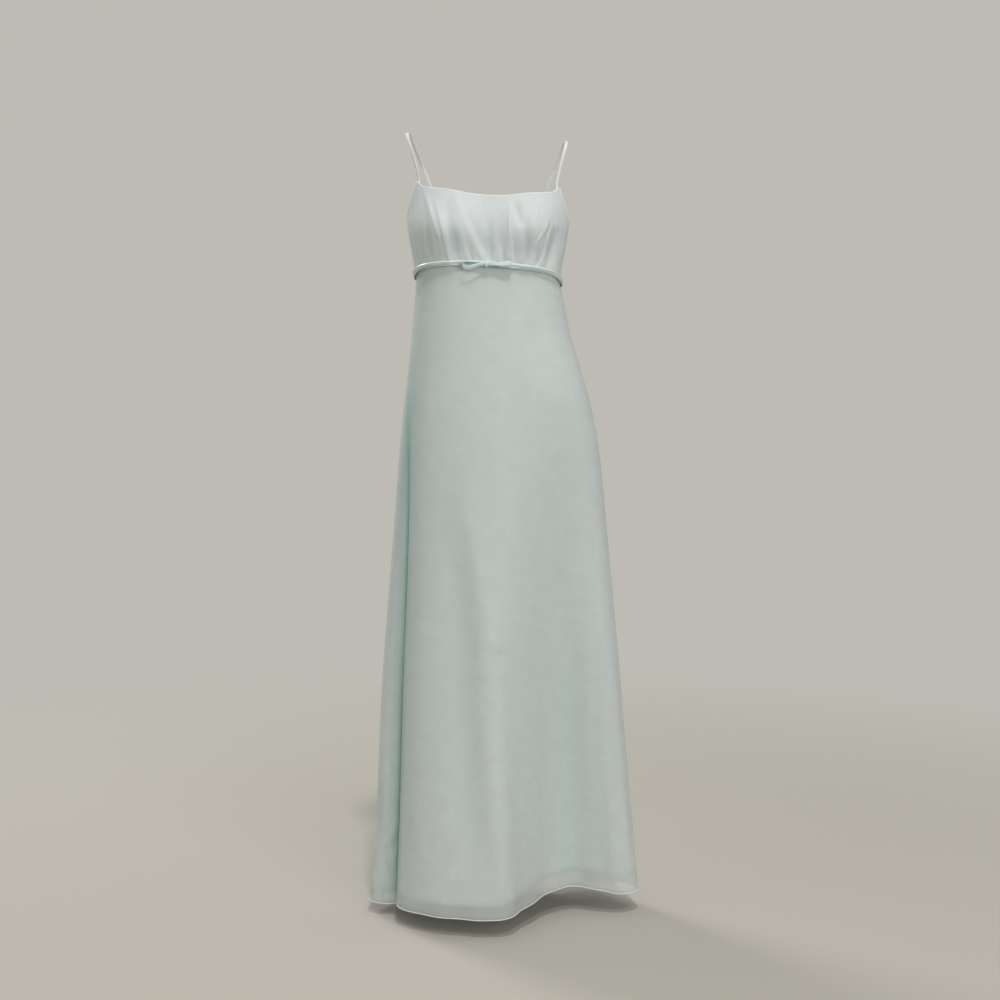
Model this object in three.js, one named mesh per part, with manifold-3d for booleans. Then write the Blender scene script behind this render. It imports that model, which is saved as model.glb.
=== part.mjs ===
// Evening gown: an empire bodice gathered into a narrow tied band, two thin straps, and a long flared skirt
// of sheer cloth over a shorter opaque lining. It keeps the hollow form that it has when it is worn.
// Millimetres. The origin lies midway between the tops of the straps, +X to the wearer's left, -Y to the
// front and +Z up. A turn is the angle round the body in degrees: 0 front, 90 left side, 180 back, -90 right
// side. Down is the distance below the origin. A share runs from 0 at a panel's top edge to 1 at its bottom.
import * as THREE from 'three';
import * as BufferGeometryUtils from 'three/addons/utils/BufferGeometryUtils.js';
import Module from 'manifold-3d';

// Driving dimensions
const SEAM_GAP = 0.3;
const WAIST_GAP = 0.8;
const BODICE_THICK = 2;
const CHIFFON_THICK = 1;
const LINING_THICK = 1;
const LINING_CLEAR = 3.5;
const LINING_EASE = 60;
const LINING_SHORT = 25;
const LINING_SHORT_SIDE = 6;
const SHOULDER_DROP = 5.6;
const WAIST_DROP = 6.5;

const COLOURS = {
  bodice: 0xcfdcd8,
  chiffon: 0xc9d8d3,
  lining: 0xd3deda,
  trim: 0xe4ebe7,
  metal: 0xc8cfcd,
};

// The body of the gown, level by level: its reach to the right, left, front and back of the origin, the depth
// at which it is widest, and how square the section is, where 2 is an ellipse.
const SECTIONS = [
  { down: 60, right: 145, left: 144, front: 84, back: 96, middle: 0, square: 2.6 },
  { down: 110, right: 147, left: 147, front: 90, back: 100, middle: 0, square: 2.6 },
  { down: 150, right: 148.5, left: 148, front: 95, back: 100, middle: 0, square: 2.6 },
  { down: 200, right: 142, left: 142, front: 101, back: 93, middle: 0, square: 2.5 },
  { down: 235, right: 136, left: 136, front: 106, back: 87, middle: 0, square: 2.4 },
  { down: 260, right: 132.5, left: 133, front: 108, back: 85, middle: 0, square: 2.3 },
  { down: 300, right: 135, left: 140, front: 110, back: 88, middle: 0, square: 2.25 },
  { down: 350, right: 140, left: 150, front: 113, back: 95, middle: 0, square: 2.2 },
  { down: 410, right: 146, left: 168, front: 117, back: 107, middle: 1, square: 2.2 },
  { down: 490, right: 158, left: 191, front: 121, back: 122, middle: 4, square: 2.2 },
  { down: 580, right: 167.5, left: 208, front: 123, back: 134, middle: 8, square: 2.2 },
  { down: 700, right: 176.5, left: 220.5, front: 122, back: 143, middle: 12, square: 2.2 },
  { down: 860, right: 189, left: 236, front: 120, back: 153, middle: 16, square: 2.2 },
  { down: 1000, right: 200, left: 249, front: 120, back: 161, middle: 20, square: 2.2 },
  { down: 1150, right: 208, left: 261.5, front: 121, back: 168, middle: 24, square: 2.2 },
  { down: 1300, right: 216, left: 276, front: 123, back: 175, middle: 28, square: 2.2 },
  { down: 1430, right: 226, left: 288, front: 125, back: 181, middle: 30, square: 2.2 },
  { down: 1560, right: 236, left: 300, front: 127, back: 187, middle: 32, square: 2.2 },
];

// The two rounded cups of the bodice, which fade out from a cosine of the turn towards the sides
const CUP = { apart: 72, down: 166, rise: 34, wide: 42, above: 42, below: 34, fade: 0.6 };

// The top edge from the middle of the front, up to the strap, down the armhole to the side, and along the back
const STRAP_TURN = { front: 67, back: 131 };
const TOP_EDGE = [
  { turn: 0, down: 113.3 },
  { turn: 18, down: 112 },
  { turn: 30, down: 109 },
  { turn: 39, down: 106 },
  { turn: 48, down: 104 },
  { turn: 54, down: 103.2 },
  { turn: 60, down: 101 },
  { turn: 64, down: 97 },
  { turn: STRAP_TURN.front, down: 90.5 },
  { turn: 69, down: 102 },
  { turn: 72, down: 117 },
  { turn: 76, down: 136 },
  { turn: 81, down: 147 },
  { turn: 90, down: 157 },
  { turn: 105, down: 156 },
  { turn: 120, down: 143 },
  { turn: STRAP_TURN.back, down: 130 },
  { turn: 140, down: 139 },
  { turn: 155, down: 146 },
  { turn: 180, down: 149 },
];

// The seam between bodice and skirt, which arches up over the front
const WAIST_SEAM = [
  { turn: 0, down: 233 },
  { turn: 22, down: 233.7 },
  { turn: 42, down: 236 },
  { turn: 58, down: 240.5 },
  { turn: 68, down: 245.7 },
  { turn: 78, down: 252 },
  { turn: 90, down: 258 },
  { turn: 130, down: 262 },
  { turn: 180, down: 262 },
];

// Gathers of the bodice, right to left: where each ridge stands at the seam and at its upper end, how far down
// that end lies, and how high and wide the ridge is. A negative height is a trough.
const GATHERS = [
  { foot: -112, head: -122, top: 180, high: 2.2, wide: 6 },
  { foot: -90, head: -104, top: 165, high: 2.6, wide: 6 },
  { foot: -66, head: -90, top: 125, high: 5, wide: 5 },
  { foot: -52, head: -66, top: 140, high: -2.5, wide: 6 },
  { foot: -36, head: -50, top: 160, high: 3, wide: 6 },
  { foot: -8, head: -48, top: 130, high: 4.5, wide: 8 },
  { foot: 8, head: 2, top: 170, high: -2.2, wide: 5 },
  { foot: 20, head: 16, top: 180, high: 3, wide: 5 },
  { foot: 40, head: 36, top: 150, high: 4.5, wide: 5 },
  { foot: 60, head: 60, top: 175, high: 3.5, wide: 5 },
  { foot: 84, head: 110, top: 160, high: -3.2, wide: 4 },
  { foot: 96, head: 116, top: 175, high: 3, wide: 7 },
  { foot: 114, head: 126, top: 180, high: 2.4, wide: 6 },
];

// How much of a gather the band holds down, the shares of its length where it is free and where it fades, and
// the cosine of the turn from which it fades towards the sides
const GATHER = { held: 0.25, near: 0.02, free: 0.2, fading: 0.3, fade: 0.5 };

// Folds of the skirt, once round from the back: where each crest or valley reaches the hem, seen from above,
// how far down the hem is there, how far down the fold begins and how soon it opens below that.
const FOLDS = [
  { turn: -180, x: 34, y: 203, hem: 1428, from: 430, ease: 1.4 },
  { turn: -163, x: -44, y: 148, hem: 1430, from: 450, ease: 1.4 },
  { turn: -146, x: -118, y: 176, hem: 1428, from: 430, ease: 1.5 },
  { turn: -128, x: -152, y: 112, hem: 1430, from: 450, ease: 1.5 },
  { turn: -112, x: -208, y: 84, hem: 1432, from: 420, ease: 1.6 },
  { turn: -97, x: -226, y: 20, hem: 1436, from: 400, ease: 2 },
  { turn: -87, x: -189, y: 0, hem: 1436, from: 400, ease: 2.4 },
  { turn: -77, x: -160, y: 10, hem: 1432, from: 400, ease: 2.8 },
  { turn: -67, x: -175, y: -26, hem: 1424, from: 400, ease: 2.8 },
  { turn: -56, x: -163, y: -62, hem: 1424, from: 420, ease: 2.6 },
  { turn: -38, x: -112, y: -102, hem: 1424, from: 420, ease: 2 },
  { turn: -20, x: -46, y: -125, hem: 1424, from: 420, ease: 2 },
  { turn: -4, x: 14, y: -130, hem: 1424, from: 420, ease: 2 },
  { turn: 6, x: 38, y: -118, hem: 1422, from: 420, ease: 1.6 },
  { turn: 16, x: 61, y: -86, hem: 1420, from: 430, ease: 1.5 },
  { turn: 28, x: 90, y: -42, hem: 1416, from: 430, ease: 1.5 },
  { turn: 40, x: 122, y: -4, hem: 1410, from: 440, ease: 1.5 },
  { turn: 53, x: 164, y: 18, hem: 1408, from: 440, ease: 1.5 },
  { turn: 66, x: 214, y: 8, hem: 1412, from: 450, ease: 1.5 },
  { turn: 77, x: 252, y: 2, hem: 1418, from: 450, ease: 1.5 },
  { turn: 92, x: 287, y: 34, hem: 1418, from: 450, ease: 1.5 },
  { turn: 108, x: 268, y: 92, hem: 1424, from: 440, ease: 1.5 },
  { turn: 126, x: 204, y: 108, hem: 1428, from: 450, ease: 1.5 },
  { turn: 145, x: 180, y: 178, hem: 1428, from: 430, ease: 1.5 },
  { turn: 163, x: 106, y: 150, hem: 1430, from: 450, ease: 1.4 },
];
const FOLD_SOFT = 0.08;

// How finely the panels are divided: the widest step round the body and the nearest two columns, the rows from
// top to bottom, how these crowd towards the waist, and from which one the lining has every second only
const STEPS = { bodice: 3.4, bodiceRows: 8, skirt: 6.5, skirtRows: 12, nearest: 1.6, crowd: 1.2, fine: 7 };
const TRIM_STEPS = { strap: 20, bow: 20, knot: 12, tape: 12, arc: 6 };

// Trims
const BINDING = { high: 2.6, thick: 2.2 };
const BAND = { high: 10.5, thick: 3, clear: 0.5 };
const STRAP = { wide: 6, thick: 2, tail: 12, clear: 0.8, front: 6, back: 8, inwards: 4 };
const STRAP_TURNS_FLAT = { from: 0.14, to: 0.42 };
const SHOULDER = { arch: 36, fall: 9, tops: { left: { x: 141, z: -7.8 }, right: { x: -145, z: 7.5 } } };
const BOW = { centre: -2, reach: 43, high: 9.5, thick: 1.2, deep: 9.8, neck: 0.3, tip: 0.8, full: 0.5 };
const LOOPS = { left: { droop: 2, lift: 3 }, right: { droop: 8, lift: 0 } };
const KNOT = { wide: 9, high: 12, deep: 9 };

// The closed zip on the middle of the back: its tape inside the wall, and its slider with a pull on a pin
const TAPE = { wide: 20, thick: 1, clear: 0.8, bottom: 392 };
const SLIDER = { down: 162, wide: 6.4, long: 9, plate: 1.4, up: 2 };
const LUG = { thick: 0.9, long: 2.6, clear: 0.35, above: 0.3, sunk: 0.2, pin: 0.6, stand: 2.1, pinSides: 8 };
const PULL = { top: 3.4, bottom: 5, long: 18, thick: 1.1, eye: 1.6, bore: 0.95 };

// Small helpers
const { clamp, degToRad, euclideanModulo, lerp, smoothstep } = THREE.MathUtils;
const SIDES = [{ name: 'left', way: 1 }, { name: 'right', way: -1 }];
const vector = (x, y, z) => new THREE.Vector3(x, y, z);
const range = (count) => Array.from({ length: count }, (_, i) => i);
const evenSteps = (from, to, steps) => range(steps + 1).map((i) => lerp(from, to, i / steps));

// A cubic piece between two rows, from their values and slopes
function cubic(t, span, v0, v1, slope0, slope1) {
  const rest = 1 - t;
  return v0 * (1 + 2 * t) * rest * rest + v1 * (3 - 2 * t) * t * t
    + span * (slope0 * t * rest * rest - slope1 * t * t * rest);
}

// A smooth curve through a table that never swings past its rows: the slope at a row is the harmonic mean of
// the slopes on its two sides, and level at both ends and where these point opposite ways.
function curveThrough(rows, key, value) {
  const last = rows.length - 1;
  const step = (i, name) => rows[i + 1][name] - rows[i][name];
  const rise = range(last).map((i) => step(i, value) / step(i, key));
  const slopes = rows.map((_, i) => {
    const [before, after] = [rise[i - 1] ?? 0, rise[i] ?? 0];
    return before * after > 0 ? (2 * before * after) / (before + after) : 0;
  });
  return (at) => {
    const where = clamp(at, rows[0][key], rows[last][key]);
    const next = Math.max(rows.findIndex((row) => row[key] >= where), 1);
    const [a, b] = [rows[next - 1], rows[next]];
    const span = b[key] - a[key];
    return cubic((where - a[key]) / span, span, a[value], b[value], slopes[next - 1], slopes[next]);
  };
}

// A smooth closed curve through values set at turns round the body: the slope at a row is that of the line
// between its two neighbours.
function ringThrough(turns, values, turn) {
  const count = turns.length;
  const where = turns[0] + euclideanModulo(turn - turns[0], 360);
  const found = turns.findIndex((t) => t > where);
  const next = found < 0 ? count : found;
  const turnAt = (i) => turns[euclideanModulo(i, count)] + 360 * Math.floor(i / count);
  const valueAt = (i) => values[euclideanModulo(i, count)];
  const slopeAt = (i) => (valueAt(i + 1) - valueAt(i - 1)) / (turnAt(i + 1) - turnAt(i - 1));
  const span = turnAt(next) - turnAt(next - 1);
  const t = (where - turnAt(next - 1)) / span;
  return cubic(t, span, valueAt(next - 1), valueAt(next), slopeAt(next - 1), slopeAt(next));
}

// The form of the gown
const sectionParts = ['right', 'left', 'front', 'back', 'middle', 'square'];
const section = Object.fromEntries(sectionParts.map((name) => [name, curveThrough(SECTIONS, 'down', name)]));
const fromFront = (turn) => Math.abs(euclideanModulo(turn + 180, 360) - 180);
const topEdgeCurve = curveThrough(TOP_EDGE, 'turn', 'down');
const seamCurve = curveThrough(WAIST_SEAM, 'turn', 'down');
const topDown = (turn) => topEdgeCurve(fromFront(turn)) + SHOULDER_DROP * Math.sin(degToRad(turn));
const seamDown = (turn) => seamCurve(fromFront(turn)) + WAIST_DROP * Math.sin(degToRad(turn));

// A point of the plain body: a squared ellipse about the middle of the section, and the cups in front
function bodyPoint(turn, down) {
  const centre = (section.left(down) - section.right(down)) / 2;
  const half = (section.left(down) + section.right(down)) / 2;
  const [sine, cosine] = [Math.sin(degToRad(turn)), Math.cos(degToRad(turn))];
  const middle = section.middle(down);
  const depth = cosine > 0 ? middle + section.front(down) : section.back(down) - middle;
  const power = section.square(down);
  const reach = (Math.abs(sine / half) ** power + Math.abs(cosine / depth) ** power) ** (-1 / power);
  const x = centre + reach * sine;
  const tall = down < CUP.down ? CUP.above : CUP.below;
  const level = Math.exp(-0.5 * ((down - CUP.down) / tall) ** 2);
  const swell = (way) => Math.exp(-0.5 * ((x - way * CUP.apart) / CUP.wide) ** 2);
  const cups = CUP.rise * level * (swell(1) + swell(-1)) * smoothstep(cosine, 0, CUP.fade);
  return vector(x, middle - reach * cosine - cups, -down);
}

// How far the gathers stand out from the cups. The band draws them in at the seam.
function gatherHeight(x, down, seam) {
  return GATHERS.reduce((sum, { foot, head, top, high, wide }) => {
    const up = clamp((seam - down) / (seam - top), 0, 1);
    const across = (x - lerp(foot, head, up)) / wide;
    const freed = lerp(GATHER.held, 1, smoothstep(up, GATHER.near, GATHER.free));
    const strength = freed * (1 - smoothstep(up, GATHER.fading, 1));
    return sum + high * strength * Math.exp(-0.5 * across * across);
  }, 0);
}

function bodicePoint(turn, share) {
  const seam = seamDown(turn);
  const down = lerp(topDown(turn), seam, share);
  const point = bodyPoint(turn, down);
  point.y -= gatherHeight(point.x, down, seam) * smoothstep(Math.cos(degToRad(turn)), 0, GATHER.fade);
  return point;
}

// How far each fold has moved the hem from the plain body, and how much of that has opened at a level
const foldTurns = FOLDS.map((fold) => fold.turn);
const foldHems = FOLDS.map((fold) => fold.hem);
const foldMoves = FOLDS.map(({ turn, x, y, hem }) => vector(x, y, -hem).sub(bodyPoint(turn, hem)));
const hemDown = (turn) => ringThrough(foldTurns, foldHems, turn);

function foldOpening({ from, hem, ease }, down) {
  const fall = clamp((down - from) / (hem - from), 0, 1);
  const soft = (fall * fall * (1 + FOLD_SOFT)) / (fall + FOLD_SOFT);
  return 1 - (1 - soft) ** ease;
}

function skirtAt(turn, down) {
  const point = bodyPoint(turn, down);
  const opened = FOLDS.map((fold) => foldOpening(fold, down));
  point.x += ringThrough(foldTurns, foldMoves.map((move, i) => move.x * opened[i]), turn);
  point.y += ringThrough(foldTurns, foldMoves.map((move, i) => move.y * opened[i]), turn);
  return point;
}

const skirtDown = (turn) => seamDown(turn) + WAIST_GAP - SEAM_GAP;
const chiffonPoint = (turn, share) => skirtAt(turn, lerp(skirtDown(turn), hemDown(turn), share));

function liningPoint(turn, share) {
  const short = LINING_SHORT + LINING_SHORT_SIDE * Math.sin(degToRad(turn));
  return skirtAt(turn, lerp(skirtDown(turn), hemDown(turn) - short, share));
}

// The directions along a panel, down it and out of it at one of its points
function directions(pointAt, turn, share) {
  const along = pointAt(turn + 0.1, share).sub(pointAt(turn - 0.1, share)).normalize();
  const below = pointAt(turn, Math.min(share + 0.004, 1));
  const down = below.sub(pointAt(turn, Math.max(share - 0.004, 0))).normalize();
  return { along, down, out: down.clone().cross(along).normalize() };
}

// Solids
const gown = new THREE.Group();

// A named mesh of one finish
function addShape(name, colour, geometry, parent, metalness = 0) {
  const roughness = metalness ? 0.35 : 0.85;
  const material = new THREE.MeshStandardMaterial({ color: colour, roughness, metalness });
  const mesh = new THREE.Mesh(geometry, material);
  mesh.name = name;
  parent.add(mesh);
  return mesh;
}

// A cloth mesh from points and triangles, turned the right way out
function addSolid(name, colour, points, triangles) {
  const volume = triangles.reduce((sum, [a, b, c]) => {
    return sum + points[a].dot(points[b].clone().cross(points[c]));
  }, 0);
  const outward = volume > 0 ? triangles : triangles.map(([a, b, c]) => [a, c, b]);
  const geometry = new THREE.BufferGeometry().setFromPoints(points);
  geometry.setIndex(outward.flat());
  geometry.computeVertexNormals();
  addShape(name, colour, geometry, gown);
}

// A wall of cloth: a grid of points on its outer face, the same grid moved in by its thickness, and a rim that
// joins the two. Half of the seam gap is left along each edge. The inset moves the whole wall inwards.
function addWall(name, colour, pointAt, turns, shares, thick, inset = () => 0) {
  const faces = [0, thick].map((depth) => turns.flatMap((turn, i) => shares.map((share, j) => {
    const { along, down, out } = directions(pointAt, turn, share);
    const point = pointAt(turn, share);
    point.addScaledVector(out, -depth - inset(share));
    point.addScaledVector(along, ((i === 0) - (i === turns.length - 1)) * SEAM_GAP / 2);
    return point.addScaledVector(down, ((j === 0) - (j === shares.length - 1)) * SEAM_GAP / 2);
  })));
  const rows = shares.length;
  const corner = (i, j) => i * rows + j;
  const [lastTurn, lastRow] = [turns.length - 1, rows - 1];
  const inner = turns.length * rows;
  const outerFace = range(lastTurn).flatMap((i) => range(lastRow).flatMap((j) => [
    [corner(i, j), corner(i, j + 1), corner(i + 1, j)],
    [corner(i + 1, j), corner(i, j + 1), corner(i + 1, j + 1)],
  ]));
  const innerFace = outerFace.map(([a, b, c]) => [inner + a, inner + c, inner + b]);
  const edge = [
    ...range(lastRow).map((j) => corner(0, j)),
    ...range(lastTurn).map((i) => corner(i, lastRow)),
    ...range(lastRow).map((j) => corner(lastTurn, lastRow - j)),
    ...range(lastTurn).map((i) => corner(lastTurn - i, 0)),
  ];
  const rim = edge.flatMap((a, i) => {
    const b = edge[(i + 1) % edge.length];
    return [[b, a, inner + a], [b, inner + a, inner + b]];
  });
  addSolid(name, colour, faces.flat(), [...outerFace, ...innerFace, ...rim]);
}

// A flat section with rounded edges for a strip
function stripOutline(wide, thick) {
  const [edge, side, face] = [wide / 2, wide / 2 - thick / 2, thick / 2];
  return [[edge, 0], [side, face], [-side, face], [-edge, 0], [-side, -face], [side, -face]];
}

// A strip carried through stations, each with its centre, the way it is wide and the way it faces
function addStrip(name, colour, stations, wide, thick) {
  const outline = stripOutline(wide, thick);
  const sides = outline.length;
  const points = stations.flatMap(({ centre, across, out }) => outline.map(([a, b]) => (
    centre.clone().addScaledVector(across, a).addScaledVector(out, b)
  )));
  const walls = range(stations.length - 1).flatMap((k) => range(sides).flatMap((m) => {
    const [a, b] = [k * sides + m, k * sides + (m + 1) % sides];
    return [[a, b, a + sides], [b, b + sides, a + sides]];
  }));
  const end = (stations.length - 1) * sides;
  const caps = range(sides - 2).flatMap((m) => [[0, m + 2, m + 1], [end, end + m + 1, end + m + 2]]);
  addSolid(name, colour, points, [...walls, ...caps]);
}

// The turns of a panel's columns: at each of the given turns between two limits, unless it is close to one of
// them, and at even steps no wider than asked between those
function columns(turns, from, to, widest) {
  const inside = turns.filter((turn) => turn > from + STEPS.nearest && turn < to - STEPS.nearest);
  const stops = [from, ...new Set(inside.sort((a, b) => a - b)), to];
  const spans = stops.slice(1).map((stop, i) => {
    const steps = Math.ceil((stop - stops[i]) / widest);
    return evenSteps(stops[i], stop, steps).slice(1);
  });
  return [from, ...spans.flat()];
}

// The bodice, the sheer skirt and its lining, each with a front and two backs that part at the zip
const PANELS = [
  { name: 'front', from: -90, to: 90 },
  { name: 'back_left', from: 90, to: 180 },
  { name: 'back_right', from: -180, to: -90 },
];
const edgeTurns = TOP_EDGE.flatMap(({ turn }) => [turn, -turn]);
const bodiceTall = seamDown(0) - topDown(0);
const skirtTall = hemDown(0) - seamDown(0);
const underBand = BAND.high / 2 + 1;
const bodiceEven = evenSteps(0, 1 - underBand / bodiceTall, STEPS.bodiceRows);
const bodiceShares = [...bodiceEven, 1];
const skirtEven = evenSteps(0, 1, STEPS.skirtRows).map((share) => share ** STEPS.crowd);
const skirtShares = [0, underBand / skirtTall, ...skirtEven.slice(1)];
const liningShares = skirtShares.filter((_, i) => i < STEPS.fine || i % 2 === 1);
const liningEase = (share) => smoothstep(share * skirtTall, 0, LINING_EASE);
const liningInset = (share) => CHIFFON_THICK + SEAM_GAP + LINING_CLEAR * liningEase(share);

for (const { name, from, to } of PANELS) {
  const bodiceStep = name === 'front' ? STEPS.bodice : STEPS.bodice * 2;
  const bodiceTurns = columns(edgeTurns, from, to, bodiceStep);
  const skirtTurns = columns(foldTurns, from, to, STEPS.skirt);
  addWall(`bodice_${name}`, COLOURS.bodice, bodicePoint, bodiceTurns, bodiceShares, BODICE_THICK);
  addWall(`skirt_${name}`, COLOURS.chiffon, chiffonPoint, skirtTurns, skirtShares, CHIFFON_THICK);
  addWall(`lining_${name}`, COLOURS.lining, liningPoint, skirtTurns, liningShares, LINING_THICK, liningInset);
}

// The bound top edges: a narrow strip that stands on the edge of the wall
function edgeStations(turns) {
  const edges = turns.map((turn) => bodicePoint(turn, 0));
  return turns.map((turn, i) => {
    const { down, out } = directions(bodicePoint, turn, 0);
    const along = edges[Math.min(i + 1, edges.length - 1)].clone().sub(edges[Math.max(i - 1, 0)]).normalize();
    const across = along.cross(out).normalize();
    across.multiplyScalar(-Math.sign(across.dot(down)));
    const centre = edges[i].clone().addScaledVector(out, -BODICE_THICK / 2);
    return { centre: centre.addScaledVector(across, SEAM_GAP + BINDING.high / 2), across, out };
  });
}

function addBinding(name, from, to) {
  const apart = 0.5;
  const turns = columns(edgeTurns, from, to, STEPS.bodice * 2);
  turns[0] += apart;
  turns[turns.length - 1] -= apart;
  addStrip(name, COLOURS.trim, edgeStations(turns), BINDING.high, BINDING.thick);
}

addBinding('neckline_binding', -STRAP_TURN.front, STRAP_TURN.front);
addBinding('armhole_binding_left', STRAP_TURN.front, STRAP_TURN.back);
addBinding('armhole_binding_right', -STRAP_TURN.back, -STRAP_TURN.front);
addBinding('back_binding_left', STRAP_TURN.back, 180);
addBinding('back_binding_right', -180, -STRAP_TURN.back);

// The waistband lies over the seam, on points taken from the bodice above it and the skirt below it
function bandStation(turn) {
  const upper = bodicePoint(turn, 1 - BAND.high / 2 / (seamDown(turn) - topDown(turn)));
  const lower = skirtAt(turn, seamDown(turn) + BAND.high / 2);
  const across = upper.clone().sub(lower).normalize();
  const { along } = directions(chiffonPoint, turn, 0);
  const out = along.clone().cross(across).normalize();
  const middle = upper.clone().add(lower).multiplyScalar(0.5);
  const under = [bodicePoint(turn, 1), chiffonPoint(turn, 0)].map((point) => point.sub(middle).dot(out));
  const proud = Math.max(...under, 0);
  return { centre: middle.addScaledVector(out, proud + BAND.clear + BAND.thick / 2), across, out };
}

for (const { name, from, to } of PANELS) {
  const apart = 0.07;
  const turns = columns(edgeTurns, from, to, STEPS.bodice * (name === 'front' ? 1 : 2));
  turns[0] += apart;
  turns[turns.length - 1] -= apart;
  addStrip(`waistband_${name}`, COLOURS.trim, turns.map(bandStation), BAND.high, BAND.thick);
}

// The straps: sewn inside the bodice in front and behind, and taut over the shoulders between
function strapStations(side) {
  const { name, way } = side;
  const top = SHOULDER.tops[name];
  const inside = BODICE_THICK + STRAP.clear + STRAP.thick / 2;
  const sewn = (turn, above) => {
    const { down, out } = directions(bodicePoint, turn, 0);
    return bodicePoint(turn, 0).addScaledVector(out, -inside).addScaledVector(down, -above);
  };
  const facings = [STRAP_TURN.front, STRAP_TURN.back].map((turn) => directions(bodicePoint, way * turn, 0).out);
  const route = [
    sewn(way * STRAP_TURN.front, -STRAP.tail),
    sewn(way * STRAP_TURN.front, STRAP.front),
    vector(top.x, -SHOULDER.arch, top.z - SHOULDER.fall),
    vector(top.x, 0, top.z - STRAP.thick / 2),
    vector(top.x - way * STRAP.inwards, SHOULDER.arch, top.z - SHOULDER.fall),
    sewn(way * STRAP_TURN.back, STRAP.back),
    sewn(way * STRAP_TURN.back, -STRAP.tail),
  ];
  const curve = new THREE.CatmullRomCurve3(route, false, 'centripetal');
  return evenSteps(0, 1, TRIM_STEPS.strap).map((share) => {
    const tangent = curve.getTangentAt(share);
    const fromEnd = Math.min(share, 1 - share);
    const flatOnShoulder = smoothstep(fromEnd, STRAP_TURNS_FLAT.from, STRAP_TURNS_FLAT.to);
    const facing = facings[share < 0.5 ? 0 : 1].clone().lerp(vector(0, 0, 1), flatOnShoulder);
    const across = facing.cross(tangent).normalize();
    return { centre: curve.getPointAt(share), across, out: tangent.clone().cross(across) };
  });
}

for (const side of SIDES) {
  addStrip(`strap_${side.name}`, COLOURS.trim, strapStations(side), STRAP.wide, STRAP.thick);
}

// The flat bow on the band. Each loop of ribbon leaves the knot, runs out to its tip and comes back in front.
// Its ends lie close together at the knot and its sides are furthest apart halfway out.
const bandFront = bandStation(0);
const bowMiddle = bandFront.centre.y - BAND.thick / 2 - SEAM_GAP - KNOT.deep / 2;

function loopPoint(side, share) {
  const { droop, lift } = LOOPS[side.name];
  const out = Math.sin(Math.PI * share) ** BOW.tip;
  const apart = BOW.neck + (1 - BOW.neck) * Math.sin(Math.PI * share) ** BOW.full;
  const forward = -Math.cos(Math.PI * share) * apart / 2;
  const start = KNOT.wide / 2 + SEAM_GAP;
  const x = BOW.centre + side.way * (start + (BOW.reach - start) * out);
  const lower = droop * (forward + 0.5);
  return vector(x, bowMiddle - BOW.deep * forward, bandFront.centre.z + (lift - lower) * out);
}

for (const side of SIDES) {
  const near = 0.02;
  const shares = evenSteps(0, 1, TRIM_STEPS.bow);
  const stations = shares.map((share) => {
    const centre = loopPoint(side, share);
    const before = loopPoint(side, Math.max(share - near, 0));
    const tangent = loopPoint(side, Math.min(share + near, 1)).sub(before).normalize();
    const across = vector(0, 0, 1).addScaledVector(tangent, -tangent.z).normalize();
    return { centre, across, out: tangent.clone().cross(across) };
  });
  addStrip(`bow_loop_${side.name}`, COLOURS.trim, stations, BOW.high, BOW.thick);
}

const knotBall = new THREE.SphereGeometry(0.5, TRIM_STEPS.knot, TRIM_STEPS.knot * 2 / 3);
const knotShape = knotBall.scale(KNOT.wide, KNOT.deep, KNOT.high);
const knot = addShape('bow_knot', COLOURS.trim, knotShape, gown);
knot.position.set(BOW.centre, bowMiddle, bandFront.centre.z);

// The zip's tape lies inside the back walls, from the top edge to below the seam
function tapeStation(down) {
  const [top, seam] = [topDown(180), seamDown(180)];
  const onBodice = down < seam;
  const share = onBodice ? (down - top) / (seam - top) : (down - seam) / (hemDown(180) - seam);
  const pointAt = onBodice ? bodicePoint : chiffonPoint;
  const { down: below, out } = directions(pointAt, 180, share);
  const inside = onBodice ? BODICE_THICK : liningInset(share) + LINING_THICK;
  const centre = pointAt(180, share).addScaledVector(out, -inside - TAPE.clear - TAPE.thick / 2);
  return { centre, across: below.clone().cross(out).normalize(), out };
}

const tapeStations = evenSteps(topDown(180) + 1, TAPE.bottom, TRIM_STEPS.tape).map(tapeStation);
addStrip('zip_tape', COLOURS.lining, tapeStations, TAPE.wide, TAPE.thick);

// The slider and its pull, in a group that stands on the wall: X along the pin, Y out of the wall, Z up it
const wasm = await Module();
wasm.setup();

function toManifold(geometry) {
  geometry.deleteAttribute('normal');
  geometry.deleteAttribute('uv');
  const merged = BufferGeometryUtils.mergeVertices(geometry);
  const [vertProperties, triVerts] = [merged.attributes.position.array, new Uint32Array(merged.index.array)];
  return new wasm.Manifold(new wasm.Mesh({ numProp: 3, vertProperties, triVerts }));
}

function toGeometry(manifold) {
  const { vertProperties, triVerts } = manifold.getMesh();
  const geometry = new THREE.BufferGeometry();
  geometry.setAttribute('position', new THREE.BufferAttribute(vertProperties, 3));
  geometry.setIndex(new THREE.BufferAttribute(triVerts, 1));
  return geometry;
}

const boxAt = (x, y, z, dx, dy, dz) => toManifold(new THREE.BoxGeometry(dx, dy, dz).translate(x, y, z));

function sliderShape() {
  const { wide, long, plate, up } = SLIDER;
  const { thick, clear, above, sunk, pin, stand, pinSides } = LUG;
  const lugAt = PULL.top / 2 + clear + thick / 2;
  const tall = sunk + stand + pin + above;
  const lugs = [lugAt, -lugAt].map((x) => boxAt(x, tall / 2 - stand - sunk, 0, thick, tall, LUG.long));
  const pinShape = new THREE.CylinderGeometry(pin, pin, 2 * lugAt, pinSides).rotateZ(Math.PI / 2);
  const base = boxAt(0, -stand - plate / 2, -up, wide, plate, long);
  return base.add(lugs[0]).add(lugs[1]).add(toManifold(pinShape));
}

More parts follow.
